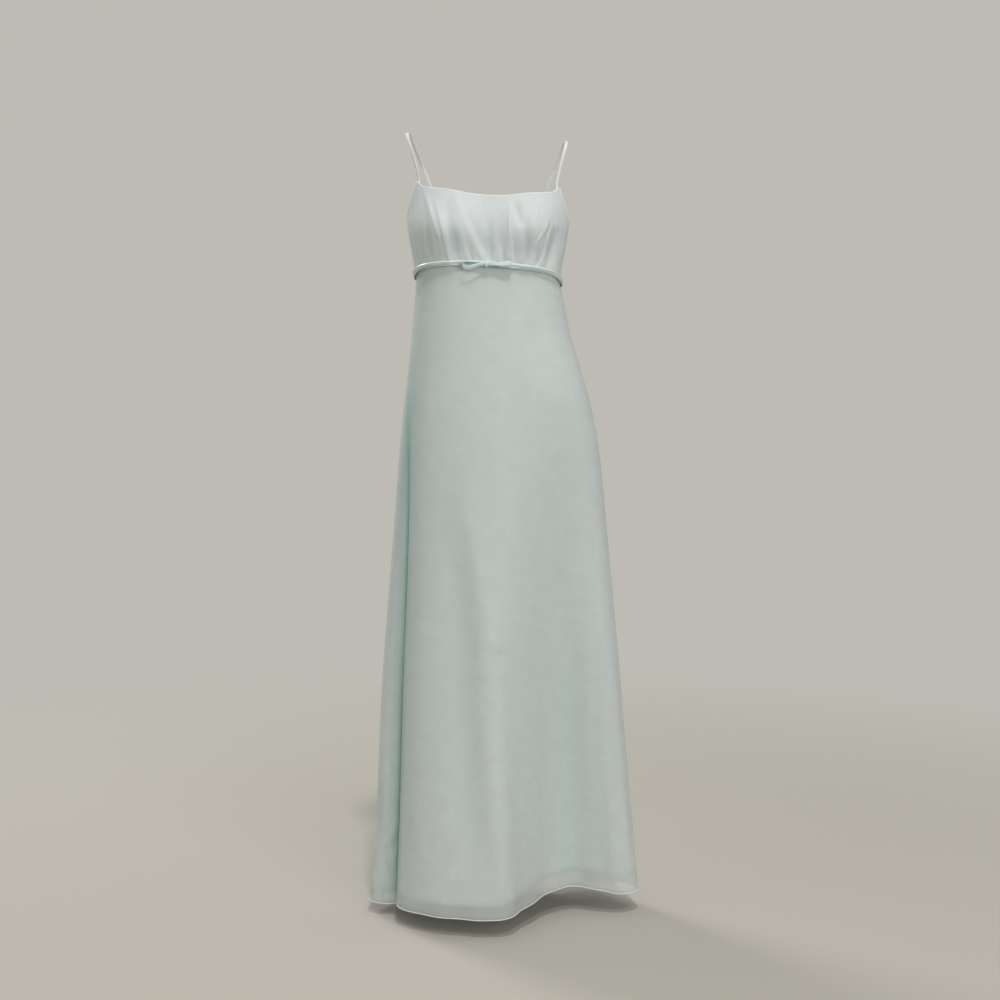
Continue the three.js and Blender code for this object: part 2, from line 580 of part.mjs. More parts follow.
function pullShape() {
  const { top, bottom, long, thick, eye, bore } = PULL;
  const half = thick / 2;
  const shoulder = Math.atan2(-Math.sqrt(eye ** 2 - half ** 2), half);
  const profile = new THREE.Shape();
  profile.absarc(0, 0, eye, shoulder, Math.PI - shoulder, false);
  profile.lineTo(-half, -long + half);
  profile.lineTo(0, -long);
  profile.lineTo(half, -long + half);
  profile.holes.push(new THREE.Path().absarc(0, 0, bore, 0, 2 * Math.PI, true));
  const sideways = new THREE.Matrix4().makeBasis(vector(0, 1, 0), vector(0, 0, 1), vector(1, 0, 0));
  const settings = { depth: bottom, bevelEnabled: false, curveSegments: TRIM_STEPS.arc * 2 };
  const side = new THREE.ExtrudeGeometry(profile, settings).translate(0, 0, -bottom / 2).applyMatrix4(sideways);
  const outline = new THREE.Shape();
  outline.moveTo(top / 2, 2 * eye);
  outline.lineTo(-top / 2, 2 * eye);
  outline.lineTo(-top / 2, -eye);
  outline.absarc(0, -long + bottom / 2, bottom / 2, Math.PI, 2 * Math.PI, false);
  outline.lineTo(top / 2, -eye);
  const deep = { depth: 4 * eye, bevelEnabled: false, curveSegments: TRIM_STEPS.arc };
  const flat = new THREE.ExtrudeGeometry(outline, deep).translate(0, 0, -2 * eye).rotateX(Math.PI / 2);
  return toManifold(side).intersect(toManifold(flat));
}

const sliderShare = (SLIDER.down - topDown(180)) / (seamDown(180) - topDown(180));
const sliderWall = directions(bodicePoint, 180, sliderShare);
const pinHeight = SEAM_GAP + SLIDER.plate + LUG.stand;
const zip = new THREE.Group();
zip.position.copy(bodicePoint(180, sliderShare)).addScaledVector(sliderWall.out, pinHeight);
gown.add(zip);
const slider = addShape('zip_slider', COLOURS.metal, toGeometry(sliderShape()), zip, 1);
slider.rotation.x = Math.atan2(sliderWall.down.y, -sliderWall.down.z);
addShape('zip_pull', COLOURS.metal, toGeometry(pullShape()), zip, 1);

export default gown;
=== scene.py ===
# %% [markdown]
# An evening gown, made as a lesson in cloth surfaces. The real one is a long empire-line gown: a bodice
# that is gathered under the bust into a narrow band, two thin straps, a flat bow, and a flared skirt of
# sheer chiffon over a shorter opaque lining. It keeps the hollow form that it has when it is worn.
#
# The solid model gives the frame: every piece of cloth here lies where its solid lies. The solids are
# coarse walls, so the lesson builds each piece again as a fine surface from the same few sizes, and adds
# the creases, sewing and finish that a solid doesn't need.

# %% Load the frame
import math

import bpy
import numpy as np
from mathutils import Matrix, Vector


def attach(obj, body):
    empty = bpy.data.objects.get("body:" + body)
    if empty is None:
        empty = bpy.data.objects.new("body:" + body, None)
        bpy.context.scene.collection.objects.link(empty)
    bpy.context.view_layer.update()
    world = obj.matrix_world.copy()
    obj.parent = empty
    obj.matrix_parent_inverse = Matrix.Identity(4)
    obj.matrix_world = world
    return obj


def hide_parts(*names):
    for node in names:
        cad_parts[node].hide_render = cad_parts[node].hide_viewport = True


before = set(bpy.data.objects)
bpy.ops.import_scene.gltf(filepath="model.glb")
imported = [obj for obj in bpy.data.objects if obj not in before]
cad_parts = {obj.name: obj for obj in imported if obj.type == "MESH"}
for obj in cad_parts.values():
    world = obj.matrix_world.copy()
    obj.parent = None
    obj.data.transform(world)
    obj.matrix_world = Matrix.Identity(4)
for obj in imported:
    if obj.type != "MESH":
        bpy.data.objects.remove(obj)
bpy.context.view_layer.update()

MM = 0.001

# %% [markdown]
# A worn gown has no simple outline, but it can be told in a few tables. The first gives the section of
# the gown at a number of levels: its reach to each side, to the front and to the back. A smooth curve
# through each column gives every level between. A spline that may overshoot would put bulges between the
# rows, so the slope at a row is the harmonic mean of the slopes beside it, which never swings past the
# values.

# %% Tables and the curves through them
def table(names, rows):
    """A table as a dictionary of arrays, one for each named column."""
    return dict(zip(names.split(), np.array(rows, float).T))


def smooth(value, low, high):
    """0 below low, 1 above high, and 3 t^2 - 2 t^3 between."""
    t = np.clip((value - low) / (high - low), 0, 1)
    return t * t * (3 - 2 * t)


def blend(a, b, share):
    """a at share 0 and b at share 1."""
    return a + (b - a) * share


def bell(distance, wide):
    """A bell curve, exp(-(distance / wide)^2 / 2): 1 in the middle and almost 0 at three times wide."""
    return np.exp(-0.5 * (distance / wide) ** 2)


def cubic(t, span, value0, value1, slope0, slope1):
    """The cubic between two rows that has their values and slopes."""
    rest = 1 - t
    ends = value0 * (1 + 2 * t) * rest**2 + value1 * (3 - 2 * t) * t**2
    return ends + span * (slope0 * t * rest**2 - slope1 * t**2 * rest)


def curve_through(places, values):
    """A smooth curve through a table's rows: harmonic mean slopes, level at both ends."""
    rise = np.diff(values) / np.diff(places)
    before, after = np.append(0, rise), np.append(rise, 0)
    both = before * after
    slopes = np.where(both > 0, 2 * both / np.where(both > 0, before + after, 1), 0)

    def at(place):
        place = np.clip(place, places[0], places[-1])
        i = np.clip(np.searchsorted(places, place), 1, len(places) - 1)
        span = places[i] - places[i - 1]
        t = (place - places[i - 1]) / span
        return cubic(t, span, values[i - 1], values[i], slopes[i - 1], slopes[i])

    return at


SECTIONS = table("down right left front back middle square", [
    (60, 145, 144, 84, 96, 0, 2.6),
    (110, 147, 147, 90, 100, 0, 2.6),
    (150, 148.5, 148, 95, 100, 0, 2.6),
    (200, 142, 142, 101, 93, 0, 2.5),
    (235, 136, 136, 106, 87, 0, 2.4),
    (260, 132.5, 133, 108, 85, 0, 2.3),
    (300, 135, 140, 110, 88, 0, 2.25),
    (350, 140, 150, 113, 95, 0, 2.2),
    (410, 146, 168, 117, 107, 1, 2.2),
    (490, 158, 191, 121, 122, 4, 2.2),
    (580, 167.5, 208, 123, 134, 8, 2.2),
    (700, 176.5, 220.5, 122, 143, 12, 2.2),
    (860, 189, 236, 120, 153, 16, 2.2),
    (1000, 200, 249, 120, 161, 20, 2.2),
    (1150, 208, 261.5, 121, 168, 24, 2.2),
    (1300, 216, 276, 123, 175, 28, 2.2),
    (1430, 226, 288, 125, 181, 30, 2.2),
    (1560, 236, 300, 127, 187, 32, 2.2),
])
TOP_EDGE = table("turn down", [
    (0, 113.3), (18, 112), (30, 109), (39, 106), (48, 104), (54, 103.2), (60, 101), (64, 97), (67, 90.5),
    (69, 102), (72, 117), (76, 136), (81, 147), (90, 157), (105, 156), (120, 143), (131, 130), (140, 139),
    (155, 146), (180, 149),
])
WAIST_SEAM = table("turn down", [
    (0, 233), (22, 233.7), (42, 236), (58, 240.5), (68, 245.7), (78, 252), (90, 258), (130, 262), (180, 262),
])
CUP = {"apart": 72, "down": 166, "rise": 34, "wide": 42, "above": 42, "below": 34}
SHOULDER_DROP = 5.6
WAIST_DROP = 6.5
STRAP_TURN = {"front": 67, "back": 131}

section = {name: curve_through(SECTIONS["down"], SECTIONS[name]) for name in SECTIONS if name != "down"}
top_curve = curve_through(TOP_EDGE["turn"], TOP_EDGE["down"])
waist_curve = curve_through(WAIST_SEAM["turn"], WAIST_SEAM["down"])
print("levels in the table of sections:", len(SECTIONS["down"]))

# %% [markdown]
# A point of the cloth has two coordinates. The turn is the angle round the body: 0 in front, 90 at the
# wearer's left side, 180 behind. The second is how far down it lies. At one level the section is a
# squared ellipse, like a rib cage seen from above, and two rounded cups are added in front.

# %% The plain body of the gown
def from_front(turn):
    """The turn without its sign, from 0 in front to 180 behind."""
    return np.abs((turn + 180) % 360 - 180)


def top_down(turn):
    """How far down the top edge lies. One shoulder is lower than the other."""
    return top_curve(from_front(turn)) + SHOULDER_DROP * np.sin(np.radians(turn))


def waist_down(turn):
    """How far down the waist seam lies."""
    return waist_curve(from_front(turn)) + WAIST_DROP * np.sin(np.radians(turn))


def body_at(turn, down):
    """A squared ellipse, |x/half|^n + |y/depth|^n = 1, about its level's middle, and two bell-like cups."""
    turn, down = np.broadcast_arrays(np.asarray(turn, float), np.asarray(down, float))
    centre = (section["left"](down) - section["right"](down)) / 2
    half = (section["left"](down) + section["right"](down)) / 2
    sine, cosine = np.sin(np.radians(turn)), np.cos(np.radians(turn))
    middle = section["middle"](down)
    depth = np.where(cosine > 0, middle + section["front"](down), section["back"](down) - middle)
    power = section["square"](down)
    reach = (np.abs(sine / half) ** power + np.abs(cosine / depth) ** power) ** (-1 / power)
    x = centre + reach * sine
    tall = np.where(down < CUP["down"], CUP["above"], CUP["below"])
    swell = sum(bell(x - side * CUP["apart"], CUP["wide"]) for side in (1, -1))
    cups = CUP["rise"] * bell(down - CUP["down"], tall) * swell * smooth(cosine, 0, 0.6)
    return np.stack([x, middle - reach * cosine - cups, -down], -1)


# %% [markdown]
# The folds of the skirt are a second table. Each row is a crest or a valley where it reaches the hem,
# seen from above. Higher up, a fold is only partly open, and near the waist it is gone. Every fold opens
# in its own way, which keeps the skirt from looking like a fluted column.

# %% The folds of the skirt
FOLDS = table("turn x y hem begins ease", [
    (-180, 34, 203, 1428, 430, 1.4),
    (-163, -44, 148, 1430, 450, 1.4),
    (-146, -118, 176, 1428, 430, 1.5),
    (-128, -152, 112, 1430, 450, 1.5),
    (-112, -208, 84, 1432, 420, 1.6),
    (-97, -226, 20, 1436, 400, 2),
    (-87, -189, 0, 1436, 400, 2.4),
    (-77, -160, 10, 1432, 400, 2.8),
    (-67, -175, -26, 1424, 400, 2.8),
    (-56, -163, -62, 1424, 420, 2.6),
    (-38, -112, -102, 1424, 420, 2),
    (-20, -46, -125, 1424, 420, 2),
    (-4, 14, -130, 1424, 420, 2),
    (6, 38, -118, 1422, 420, 1.6),
    (16, 61, -86, 1420, 430, 1.5),
    (28, 90, -42, 1416, 430, 1.5),
    (40, 122, -4, 1410, 440, 1.5),
    (53, 164, 18, 1408, 440, 1.5),
    (66, 214, 8, 1412, 450, 1.5),
    (77, 252, 2, 1418, 450, 1.5),
    (92, 287, 34, 1418, 450, 1.5),
    (108, 268, 92, 1424, 440, 1.5),
    (126, 204, 108, 1428, 450, 1.5),
    (145, 180, 178, 1428, 430, 1.5),
    (163, 106, 150, 1430, 450, 1.4),
])
FOLD_COUNT = len(FOLDS["turn"])
fold_moves = np.stack([FOLDS["x"], FOLDS["y"]], -1) - body_at(FOLDS["turn"], FOLDS["hem"])[:, :2]
WAIST_PART = 0.5
LINING = {"short": 25, "short_side": 6, "clear": 3.5, "ease": 60, "gap": 1.3}


def ring_through(turn, value_of):
    """A closed smooth curve through the rows of FOLDS: value_of(i) gives the rows' values at each point."""
    place = FOLDS["turn"][0] + (turn - FOLDS["turn"][0]) % 360
    after = np.searchsorted(FOLDS["turn"], place, side="right")
    turn_of = lambda i: FOLDS["turn"][i % FOLD_COUNT] + 360 * (i // FOLD_COUNT)
    slope_of = lambda i: (value_of(i + 1) - value_of(i - 1)) / (turn_of(i + 1) - turn_of(i - 1))
    span = turn_of(after) - turn_of(after - 1)
    t = (place - turn_of(after - 1)) / span
    return cubic(t, span, value_of(after - 1), value_of(after), slope_of(after - 1), slope_of(after))


def hem_down(turn):
    """How far down the chiffon's hem lies."""
    return ring_through(turn, lambda i: FOLDS["hem"][i % FOLD_COUNT])


def skirt_at(turn, down):
    """The plain body, moved by each fold's own share of its move at the hem."""
    turn, down = np.broadcast_arrays(np.asarray(turn, float), np.asarray(down, float))

    def move(axis):
        def of_row(i):
            i = i % FOLD_COUNT
            begins, hem = FOLDS["begins"][i], FOLDS["hem"][i]
            fall = np.clip((down - begins) / (hem - begins), 0, 1)
            soft = fall * fall * 1.08 / (fall + 0.08)
            return fold_moves[i, axis] * (1 - (1 - soft) ** FOLDS["ease"][i])

        return ring_through(turn, of_row)

    point = body_at(turn, down)
    return point + np.stack([move(0), move(1), np.zeros_like(down)], -1)


def chiffon_at(turn, share):
    """The chiffon skirt, from share 0 at the waist seam to 1 at its hem."""
    return skirt_at(turn, blend(waist_down(turn) + WAIST_PART, hem_down(turn), share))


def lining_hem_down(turn):
    """How far down the lining's hem lies."""
    return hem_down(turn) - LINING["short"] - LINING["short_side"] * np.sin(np.radians(turn))


print("folds once round:", FOLD_COUNT)

# %% [markdown]
# A mesh of cloth is a grid of points. Whole grids are worked out at once with numpy, and the faces are
# counted off from the grid's rows and columns. Real cloth is thin but not infinitely so: its cut edges
# catch the light. So each panel is a closed shell: the outer grid, the same grid moved in along its
# normals, and a rim. The rim is shaded flat. If it were smooth, it would tilt the shading of the cloth
# beside it, and every seam between two panels would look like a dark line.
#
# Pale cloth looks deeper in colour inside a fold, where light has passed through it more than once, and it
# lies in shade there. That shade is painted into the colour: a shell or tube can carry a point attribute of
# painted shade, 0 on open cloth and up to 1 deep in a fold, which its finish reads to darken the colour.

# %% Grids, shells and tubes
# Painted shade of valleys: how far to look to each side, its strongest share, and the share of that reach
# behind the mean at which it is full.
VALLEY_SHADE = {"reach": 24, "most": 0.2, "slope": 0.34}


def new_object(name, data):
    """An object in the scene with this mesh, light or camera."""
    thing = bpy.data.objects.new(name, data)
    bpy.context.scene.collection.objects.link(thing)
    return thing


def put_mesh(name, points, loops, sizes, uv, material, cut_faces=0):
    """A mesh object from points in millimetres, its UV map in metres. The last cut_faces faces are flat."""
    mesh = bpy.data.meshes.new(name)
    mesh.vertices.add(len(points))
    mesh.vertices.foreach_set("co", (np.asarray(points) * MM).ravel())
    mesh.loops.add(len(loops))
    mesh.loops.foreach_set("vertex_index", loops)
    mesh.polygons.add(len(sizes))
    mesh.polygons.foreach_set("loop_start", np.append(0, np.cumsum(sizes)[:-1]))
    mesh.polygons.foreach_set("use_smooth", np.arange(len(sizes)) < len(sizes) - cut_faces)
    mesh.uv_layers.new(name="cloth").data.foreach_set("uv", (uv[loops] * MM).ravel())
    mesh.update(calc_edges=True)
    mesh.validate()
    mesh.materials.append(material)
    return new_object(name, mesh)


def keep_painted_shade(piece, painted_shade):
    """Stores each point's amount of painted shade with the piece, as a point attribute."""
    values = np.ascontiguousarray(painted_shade, np.float32).ravel()
    piece.data.attributes.new("painted_shade", "FLOAT", "POINT").data.foreach_set("value", values)


def quads(rows, columns, closed=False):
    """The four corners of each face of a grid, in the order that faces outwards for turn by down."""
    i, j = np.indices((rows - 1, columns if closed else columns - 1))
    here, below = i * columns, (i + 1) * columns
    beside = (j + 1) % columns
    return np.stack([here + j, here + beside, below + beside, below + j], -1).reshape(-1, 4)


def unit(vectors):
    """Vectors of length one."""
    return vectors / np.maximum(np.linalg.norm(vectors, axis=-1, keepdims=True), 1e-9)


def normals(grid):
    """Outward normals of a grid: down the columns crossed with along the rows."""
    return unit(np.cross(np.gradient(grid, axis=1), np.gradient(grid, axis=0)))


def lengths(grid, axis=0):
    """How far each point lies along its line of points, from 0 at the line's start."""
    steps = np.diff(grid, axis=axis, prepend=grid.take([0], axis))
    return np.cumsum(np.linalg.norm(steps, axis=-1), axis=axis)


def cloth_uv(grid):
    """Distances in the cloth: along each row from the middle column, and down the columns."""
    along = lengths(grid)
    return np.stack([along - along[grid.shape[0] // 2], lengths(grid, axis=1)], -1)


def nearer_side(uv):
    """How far each point lies from the nearer side seam of its panel."""
    return np.minimum(uv[..., 0] - uv[0, :, 0], uv[-1, :, 0] - uv[..., 0])


def valley_shade_of(grid, reach, most):
    """Painted shade: 0 on level cloth and most in a valley, by how far a point lies behind the mean of one
    on each side.
    """
    width = np.linalg.norm(np.diff(grid[:, -1], axis=0), axis=-1).mean()
    step = max(int(round(reach / width)), 1)
    wider = np.pad(grid, ((step, step), (0, 0), (0, 0)), "edge")
    behind = np.sum(((wider[2 * step:] + wider[:-2 * step]) / 2 - grid) * normals(grid), axis=-1)
    return most * smooth(behind, 0, reach * VALLEY_SHADE["slope"])


def shell(name, grid, thick, material, reach=VALLEY_SHADE["reach"], most=VALLEY_SHADE["most"], deep=0):
    """A closed shell of cloth, with the grid as its outer face, and painted shade in its valleys and deep
    folds.
    """
    rows, columns = grid.shape[:2]
    count = rows * columns
    inner = grid - normals(grid) * thick
    number = np.arange(count).reshape(rows, columns)
    edge = np.concatenate([number[0, :-1], number[:-1, -1], number[-1, :0:-1], number[:0:-1, 0]])
    following = np.roll(edge, -1)
    rim = np.stack([following, edge, edge + count, following + count], -1)
    outer_faces = quads(rows, columns)
    faces = np.concatenate([outer_faces, outer_faces[:, ::-1] + count, rim])
    uv = cloth_uv(grid).reshape(-1, 2)
    points = np.concatenate([grid.reshape(-1, 3), inner.reshape(-1, 3)])
    sizes = np.full(len(faces), 4)
    piece = put_mesh(name, points, faces.ravel(), sizes, np.concatenate([uv, uv]), material, len(rim))
    keep_painted_shade(piece, np.tile(np.maximum(valley_shade_of(grid, reach, most), deep).ravel(), 2))
    return piece


def tube(name, rings, material, painted_shade=None):
    """A tube through rings of points, rings[station, place on the ring], with flat caps, facing outwards."""
    stations, sides = rings.shape[:2]
    points = rings.reshape(-1, 3)
    faces = quads(stations, sides, closed=True)
    first, last = np.arange(sides), (stations - 1) * sides + np.arange(sides)
    loops = np.concatenate([faces.ravel(), first[::-1], last])
    sizes = np.append(np.full(len(faces), 4), [sides, sides])
    along = lengths(rings.mean(1))
    step = np.linalg.norm(rings - np.roll(rings, -1, axis=1), axis=-1).mean()
    uv = np.stack(np.broadcast_arrays(along[:, None], np.arange(sides)[None, :] * step), -1)
    piece = put_mesh(name, points, loops, sizes, uv.reshape(-1, 2), material, cut_faces=2)
    # Painted shade, where it is given, for the finish to darken.
    if painted_shade is not None:
        keep_painted_shade(piece, np.broadcast_to(painted_shade, rings.shape[:2]))
    a, b, c = points[faces[:, :3]].transpose(1, 0, 2)
    outwards = (rings - rings.mean(1, keepdims=True)).reshape(-1, 3)[faces[:, 0]]
    if np.sum(np.cross(b - a, c - a) * outwards) < 0:
        piece.data.flip_normals()
    return piece


def rings_along(centre, across, out, profile):
    """Rings for a tube: a profile of (across, out) places set at each station."""
    profile = np.broadcast_to(profile, (len(centre),) + np.shape(profile)[-2:])
    ring = centre[:, None] + across[:, None] * profile[..., :1]
    return ring + out[:, None] * profile[..., 1:]


def oval(wide, thick, square, count):
    """A squared ellipse as a profile."""
    angle = np.arange(count) * 2 * np.pi / count
    cosine, sine = np.cos(angle), np.sin(angle)
    reach = (np.abs(cosine) ** square + np.abs(sine) ** square) ** (-1 / square)
    return np.stack([wide / 2 * reach * cosine, thick / 2 * reach * sine], -1)


def ball(sides, rows):
    """A small ball as points and triangles, for things that are repeated."""
    angle = np.arange(sides) * 2 * np.pi / sides
    height = np.linspace(-1, 1, rows + 2)[1:-1]
    ring = np.sqrt(1 - height**2)
    points = [(0, 0, -1), (0, 0, 1)]
    points += [(r * c, r * s, h) for h, r in zip(height, ring) for c, s in zip(np.cos(angle), np.sin(angle))]
    faces = []
    for k in range(sides):
        n = (k + 1) % sides
        last = 2 + (rows - 1) * sides
        faces += [(0, 2 + n, 2 + k), (1, last + k, last + n)]
        for row in range(rows - 1):
            a, b = 2 + row * sides + k, 2 + row * sides + n
            faces += [(a, b, b + sides), (a, b + sides, a + sides)]
    return np.array(points, float), np.array(faces)


def repeated(name, centres, axes, size, material, sides=6, rows=2):
    """One mesh of many squashed balls: each has a centre, three axes and the same half sizes."""
    points, faces = ball(sides, rows)
    placed = centres[:, None] + np.einsum("pk,nkc->npc", points * size, axes)
    numbered = faces[None] + np.arange(len(centres))[:, None, None] * len(points)
    uv = np.broadcast_to(points[:, :2], placed.shape[:2] + (2,)).reshape(-1, 2)
    loops = numbered.reshape(-1)
    return put_mesh(name, placed.reshape(-1, 3), loops, np.full(len(loops) // 3, 3), uv, material)


def finish_piece(piece, slot, *nodes):
    """The piece rides on the gown and stands for its solids, which are hidden. The slot is not used."""
    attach(piece, "gown")
    if nodes:
        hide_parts(*nodes)
    print(f"{piece.name}: {len(piece.data.polygons)} faces")


# %% [markdown]
# Cloth looks like cloth when light meets its threads. A plain weave is two sets of parallel waves that
# cross, and a crepe or chiffon is the same with twisted, uneven yarns. Both patterns follow the UV map,
# which holds real distances in the cloth, so a thread has the same width everywhere. A faint mottling
# keeps a large plain surface from looking like plastic.

# %% Cloth finishes
# Tints that the painted shade multiplies into a cloth's colour: for most cloth, for the band and bow, and
# for the bodice.
FOLD_SHADE_TINT = (0.63, 0.93, 0.89)
BAND_SHADE_TINT = (0.36, 0.5, 0.46)
BODICE_SHADE_TINT = (0.84, 0.885, 0.9)
THREADS = {"Distortion": 0.6, "Detail": 1.0}
SLUBS = {"Scale": 420, "Detail": 3}
CLOUDS = {"Scale": 34, "Detail": 8, "Roughness": 0.75}
SLUB_HEIGHT = 0.4
ROUGH_SPREAD = 0.06
WAVE_RATE = 20 / math.pi


def fill(links, node, sockets):
    """Fills a node's sockets: another node's output is linked, and the rest are the socket's own value."""
    for name, value in sockets.items():
        if isinstance(value, bpy.types.NodeSocket):
            links.new(value, node.inputs[name])
        else:
            node.inputs[name].default_value = value


def node_maker(tree):
    """A function that adds a node of one kind to the tree, with its settings, and fills its sockets."""
    def add(kind, sockets=None, **settings):
        node = tree.nodes.new("ShaderNode" + kind)
        for name, value in settings.items():
            setattr(node, name, value)
        fill(tree.links, node, sockets or {})
        return node

    return add


def new_material(name):
    """A new material, a maker of its nodes, and a function that fills the sockets of its main shader."""
    material = bpy.data.materials.new(name)
    material.use_nodes = True
    tree = material.node_tree
    return material, node_maker(tree), lambda **sockets: fill(tree.links, tree.nodes["Principled BSDF"], {
        name.replace("_", " "): value for name, value in sockets.items()
    })


def cloth_finish(name, colour, thread, bump, roughness=0.8, sheen=0.15, alpha=1.0, shine=0.25, mottle=0.04,
                 shade_tint=FOLD_SHADE_TINT):
    """Woven cloth: two crossed sets of threads in the UV map, slubs from a fine noise, mottled colour,
    painted shade.
    """
    material, add, shade = new_material(name)
    place = add("UVMap", uv_map="cloth").outputs["UV"]
    size = 1 / (WAVE_RATE * thread * MM)
    warp, weft = (
        add("TexWave", {"Vector": place, "Scale": size, **THREADS}, bands_direction=direction).outputs["Fac"]
        for direction in "XY"
    )
    weave = add("Math", {0: warp, 1: weft}, operation="ADD").outputs["Value"]
    slubs = add("TexNoise", {"Vector": place, **SLUBS}).outputs["Fac"]
    uneven = add("Math", {0: slubs, 1: SLUB_HEIGHT, 2: weave}, operation="MULTIPLY_ADD").outputs["Value"]
    relief = add("Bump", {"Height": uneven, "Strength": 0.5, "Distance": bump * MM})
    rough = add("MapRange", {
        "Value": slubs, "To Min": roughness - ROUGH_SPREAD, "To Max": roughness + ROUGH_SPREAD,
    })
    clouds = add("TexNoise", {"Vector": place, **CLOUDS})
    tint = add("ValToRGB", {"Fac": clouds.outputs["Fac"]})
    for end, position, share in zip(tint.color_ramp.elements, (0.3, 0.7), (1 - mottle, 1 + mottle)):
        end.position = position
        end.color = [*(value * share for value in colour), 1]
    # Painted shade: where the point attribute is high, the colour is multiplied towards a darker tint.
    painted_shade = add("Attribute", attribute_name="painted_shade").outputs["Fac"]
    darken = add("Mix", {"Factor": painted_shade, "A": tint.outputs["Color"], "B": (*shade_tint, 1)},
                 data_type="RGBA", blend_type="MULTIPLY")
    shade(Base_Color=darken.outputs["Result"], Roughness=rough.outputs["Result"])
    shade(Normal=relief.outputs["Normal"], Alpha=alpha, Specular_IOR_Level=shine)
    shade(Sheen_Weight=sheen, Sheen_Roughness=0.45)
    return material


MINT = (0.80, 0.848, 0.845)
LINING_MINT = (0.84, 0.90, 0.895)
PALE_MINT = (0.735, 0.775, 0.785)
BAND_MINT = (0.76, 0.85, 0.835)
WHITE_MINT = (0.86, 0.88, 0.865)
FINISH = {
    "bodice": cloth_finish("bodice_crepe", PALE_MINT, thread=0.5, bump=0.12, shade_tint=BODICE_SHADE_TINT),
    "chiffon": cloth_finish("sheer_chiffon", MINT, thread=0.55, bump=0.1, alpha=0.42),
    "lining": cloth_finish("lining_taffeta", LINING_MINT, thread=0.35, bump=0.06, roughness=0.62, sheen=0.1),
    "band": cloth_finish("bias_band", BAND_MINT, thread=0.5, bump=0.05, roughness=0.34, sheen=0.1, shine=0.6,
                         shade_tint=BAND_SHADE_TINT),
    "trim": cloth_finish("white_trim", WHITE_MINT, thread=0.4, bump=0.04, roughness=0.6),
    "thread": cloth_finish("sewing_thread", WHITE_MINT, thread=0.25, bump=0.05, roughness=0.5),
    "tape": cloth_finish("zip_tape_weave", PALE_MINT, thread=0.7, bump=0.15),
}
print("cloth finishes:", ", ".join(FINISH))

# %% [markdown]
# Creases come last in the shape and first to the eye. Each one here is a short line on the cloth from one
# turn and depth to another, bowed a little, with its own width and height. A point rises by a bell curve
# of its distance to that line, and the crease fades at both ends. A negative height is a trough.

# %% Creases, given one by one
def crease_height(grid, surface, creases):
    """The sum over the creases of high * bell(distance / wide), for every point of a grid."""
    height = np.zeros(grid.shape[:2])
    steps = np.linspace(0, 1, 13)
    for turn0, down0, turn1, down1, bow, wide, high in zip(*creases.values()):
        swerve = bow * np.sin(np.pi * steps)
        line = surface(blend(turn0, turn1, steps) + swerve, blend(down0, down1, steps))
        fade = np.sin(np.pi * np.clip(steps, 0.02, 0.98)) ** 0.7
        reach = 3.5 * wide
        low, high_corner = line.min(0) - reach, line.max(0) + reach
        near = np.all((grid > low) & (grid < high_corner), axis=-1)
        if not near.any():
            continue
        points = grid[near]
        start, step = line[:-1], np.diff(line, axis=0)
        offset = points[:, None] - start
        t = np.clip(np.einsum("psk,sk->ps", offset, step) / np.einsum("sk,sk->s", step, step), 0, 1)
        distance = np.linalg.norm(offset - t[..., None] * step, axis=-1)
        nearest = distance.argmin(1)
        pick = np.arange(len(points)), nearest
        strength = blend(fade[nearest], fade[nearest + 1], t[pick])
        height[near] += high * strength * bell(distance[pick], wide)
    return height


def ripple(uv, size, high, seed):
    """A calm, uneven ripple: a few crossing sine waves of about the given size, the same each run."""
    phase = np.random.default_rng(seed).uniform(0, 2 * np.pi, (5, 3))
    total = 0
    for k, (way, _, start) in enumerate(phase):
        length = size * (0.7 + 0.25 * k)
        across, down = uv[..., 0] * 2 * np.pi / length, uv[..., 1] / length
        total = total + np.sin(across * np.cos(way) + down * np.sin(way) + start)
    return high * total / len(phase)


def even_turns(surface, first, last, step):
    """Turns at even steps of cloth along a line: its length is summed finely and then divided."""
    fine = np.linspace(first, last, 3000)
    length = lengths(surface(fine))
    count = max(int(round(length[-1] / step)), 2)
    return np.interp(np.linspace(0, length[-1], count + 1), length, fine)


# %% [markdown]
# The bodice is a front and two backs. Under the bust its fullness is drawn into the band in gathers that
# run up and outwards and die away over the cups. They are unlike each other: one sharp ridge, a broad
# soft one, a crease that reads like a dart. The table says where each begins and ends.

# %% Bodice
GATHERS = table("foot head top high wide", [
    (-112, -122, 180, 2.2, 6), (-90, -104, 165, 2.6, 6), (-66, -90, 125, 5, 5), (-52, -66, 140, -2.5, 6),
    (-36, -50, 160, 3, 6), (-8, -48, 130, 4.5, 8), (8, 2, 170, -2.2, 5), (20, 16, 180, 3, 5),
    (40, 36, 150, 4.5, 5), (60, 60, 175, 3.5, 5), (84, 110, 160, -3.2, 4), (96, 116, 175, 3, 7),
    (114, 126, 180, 2.4, 6),
])
FINE_GATHERS = table("foot head top high wide", [
    (-100, -112, 200, 0.8, 2.5), (-78, -90, 185, 0.9, 3), (-62, -80, 168, -1.2, 2.4),
    (-44, -54, 196, 0.8, 2.2), (-27, -38, 190, -0.9, 2.6), (-18, -30, 205, 0.7, 2),
    (1, -4, 198, 0.8, 2.2), (13, 10, 206, 0.7, 2), (28, 27, 196, -1, 2.4), (34, 32, 188, 0.9, 2),
    (48, 46, 180, -1.5, 2.6), (53, 53, 200, 0.8, 2), (68, 70, 196, -0.9, 2.4), (77, 84, 186, 1.6, 2.2),
    (90, 114, 170, 1.4, 2.2), (104, 120, 190, -0.8, 2.6),
])
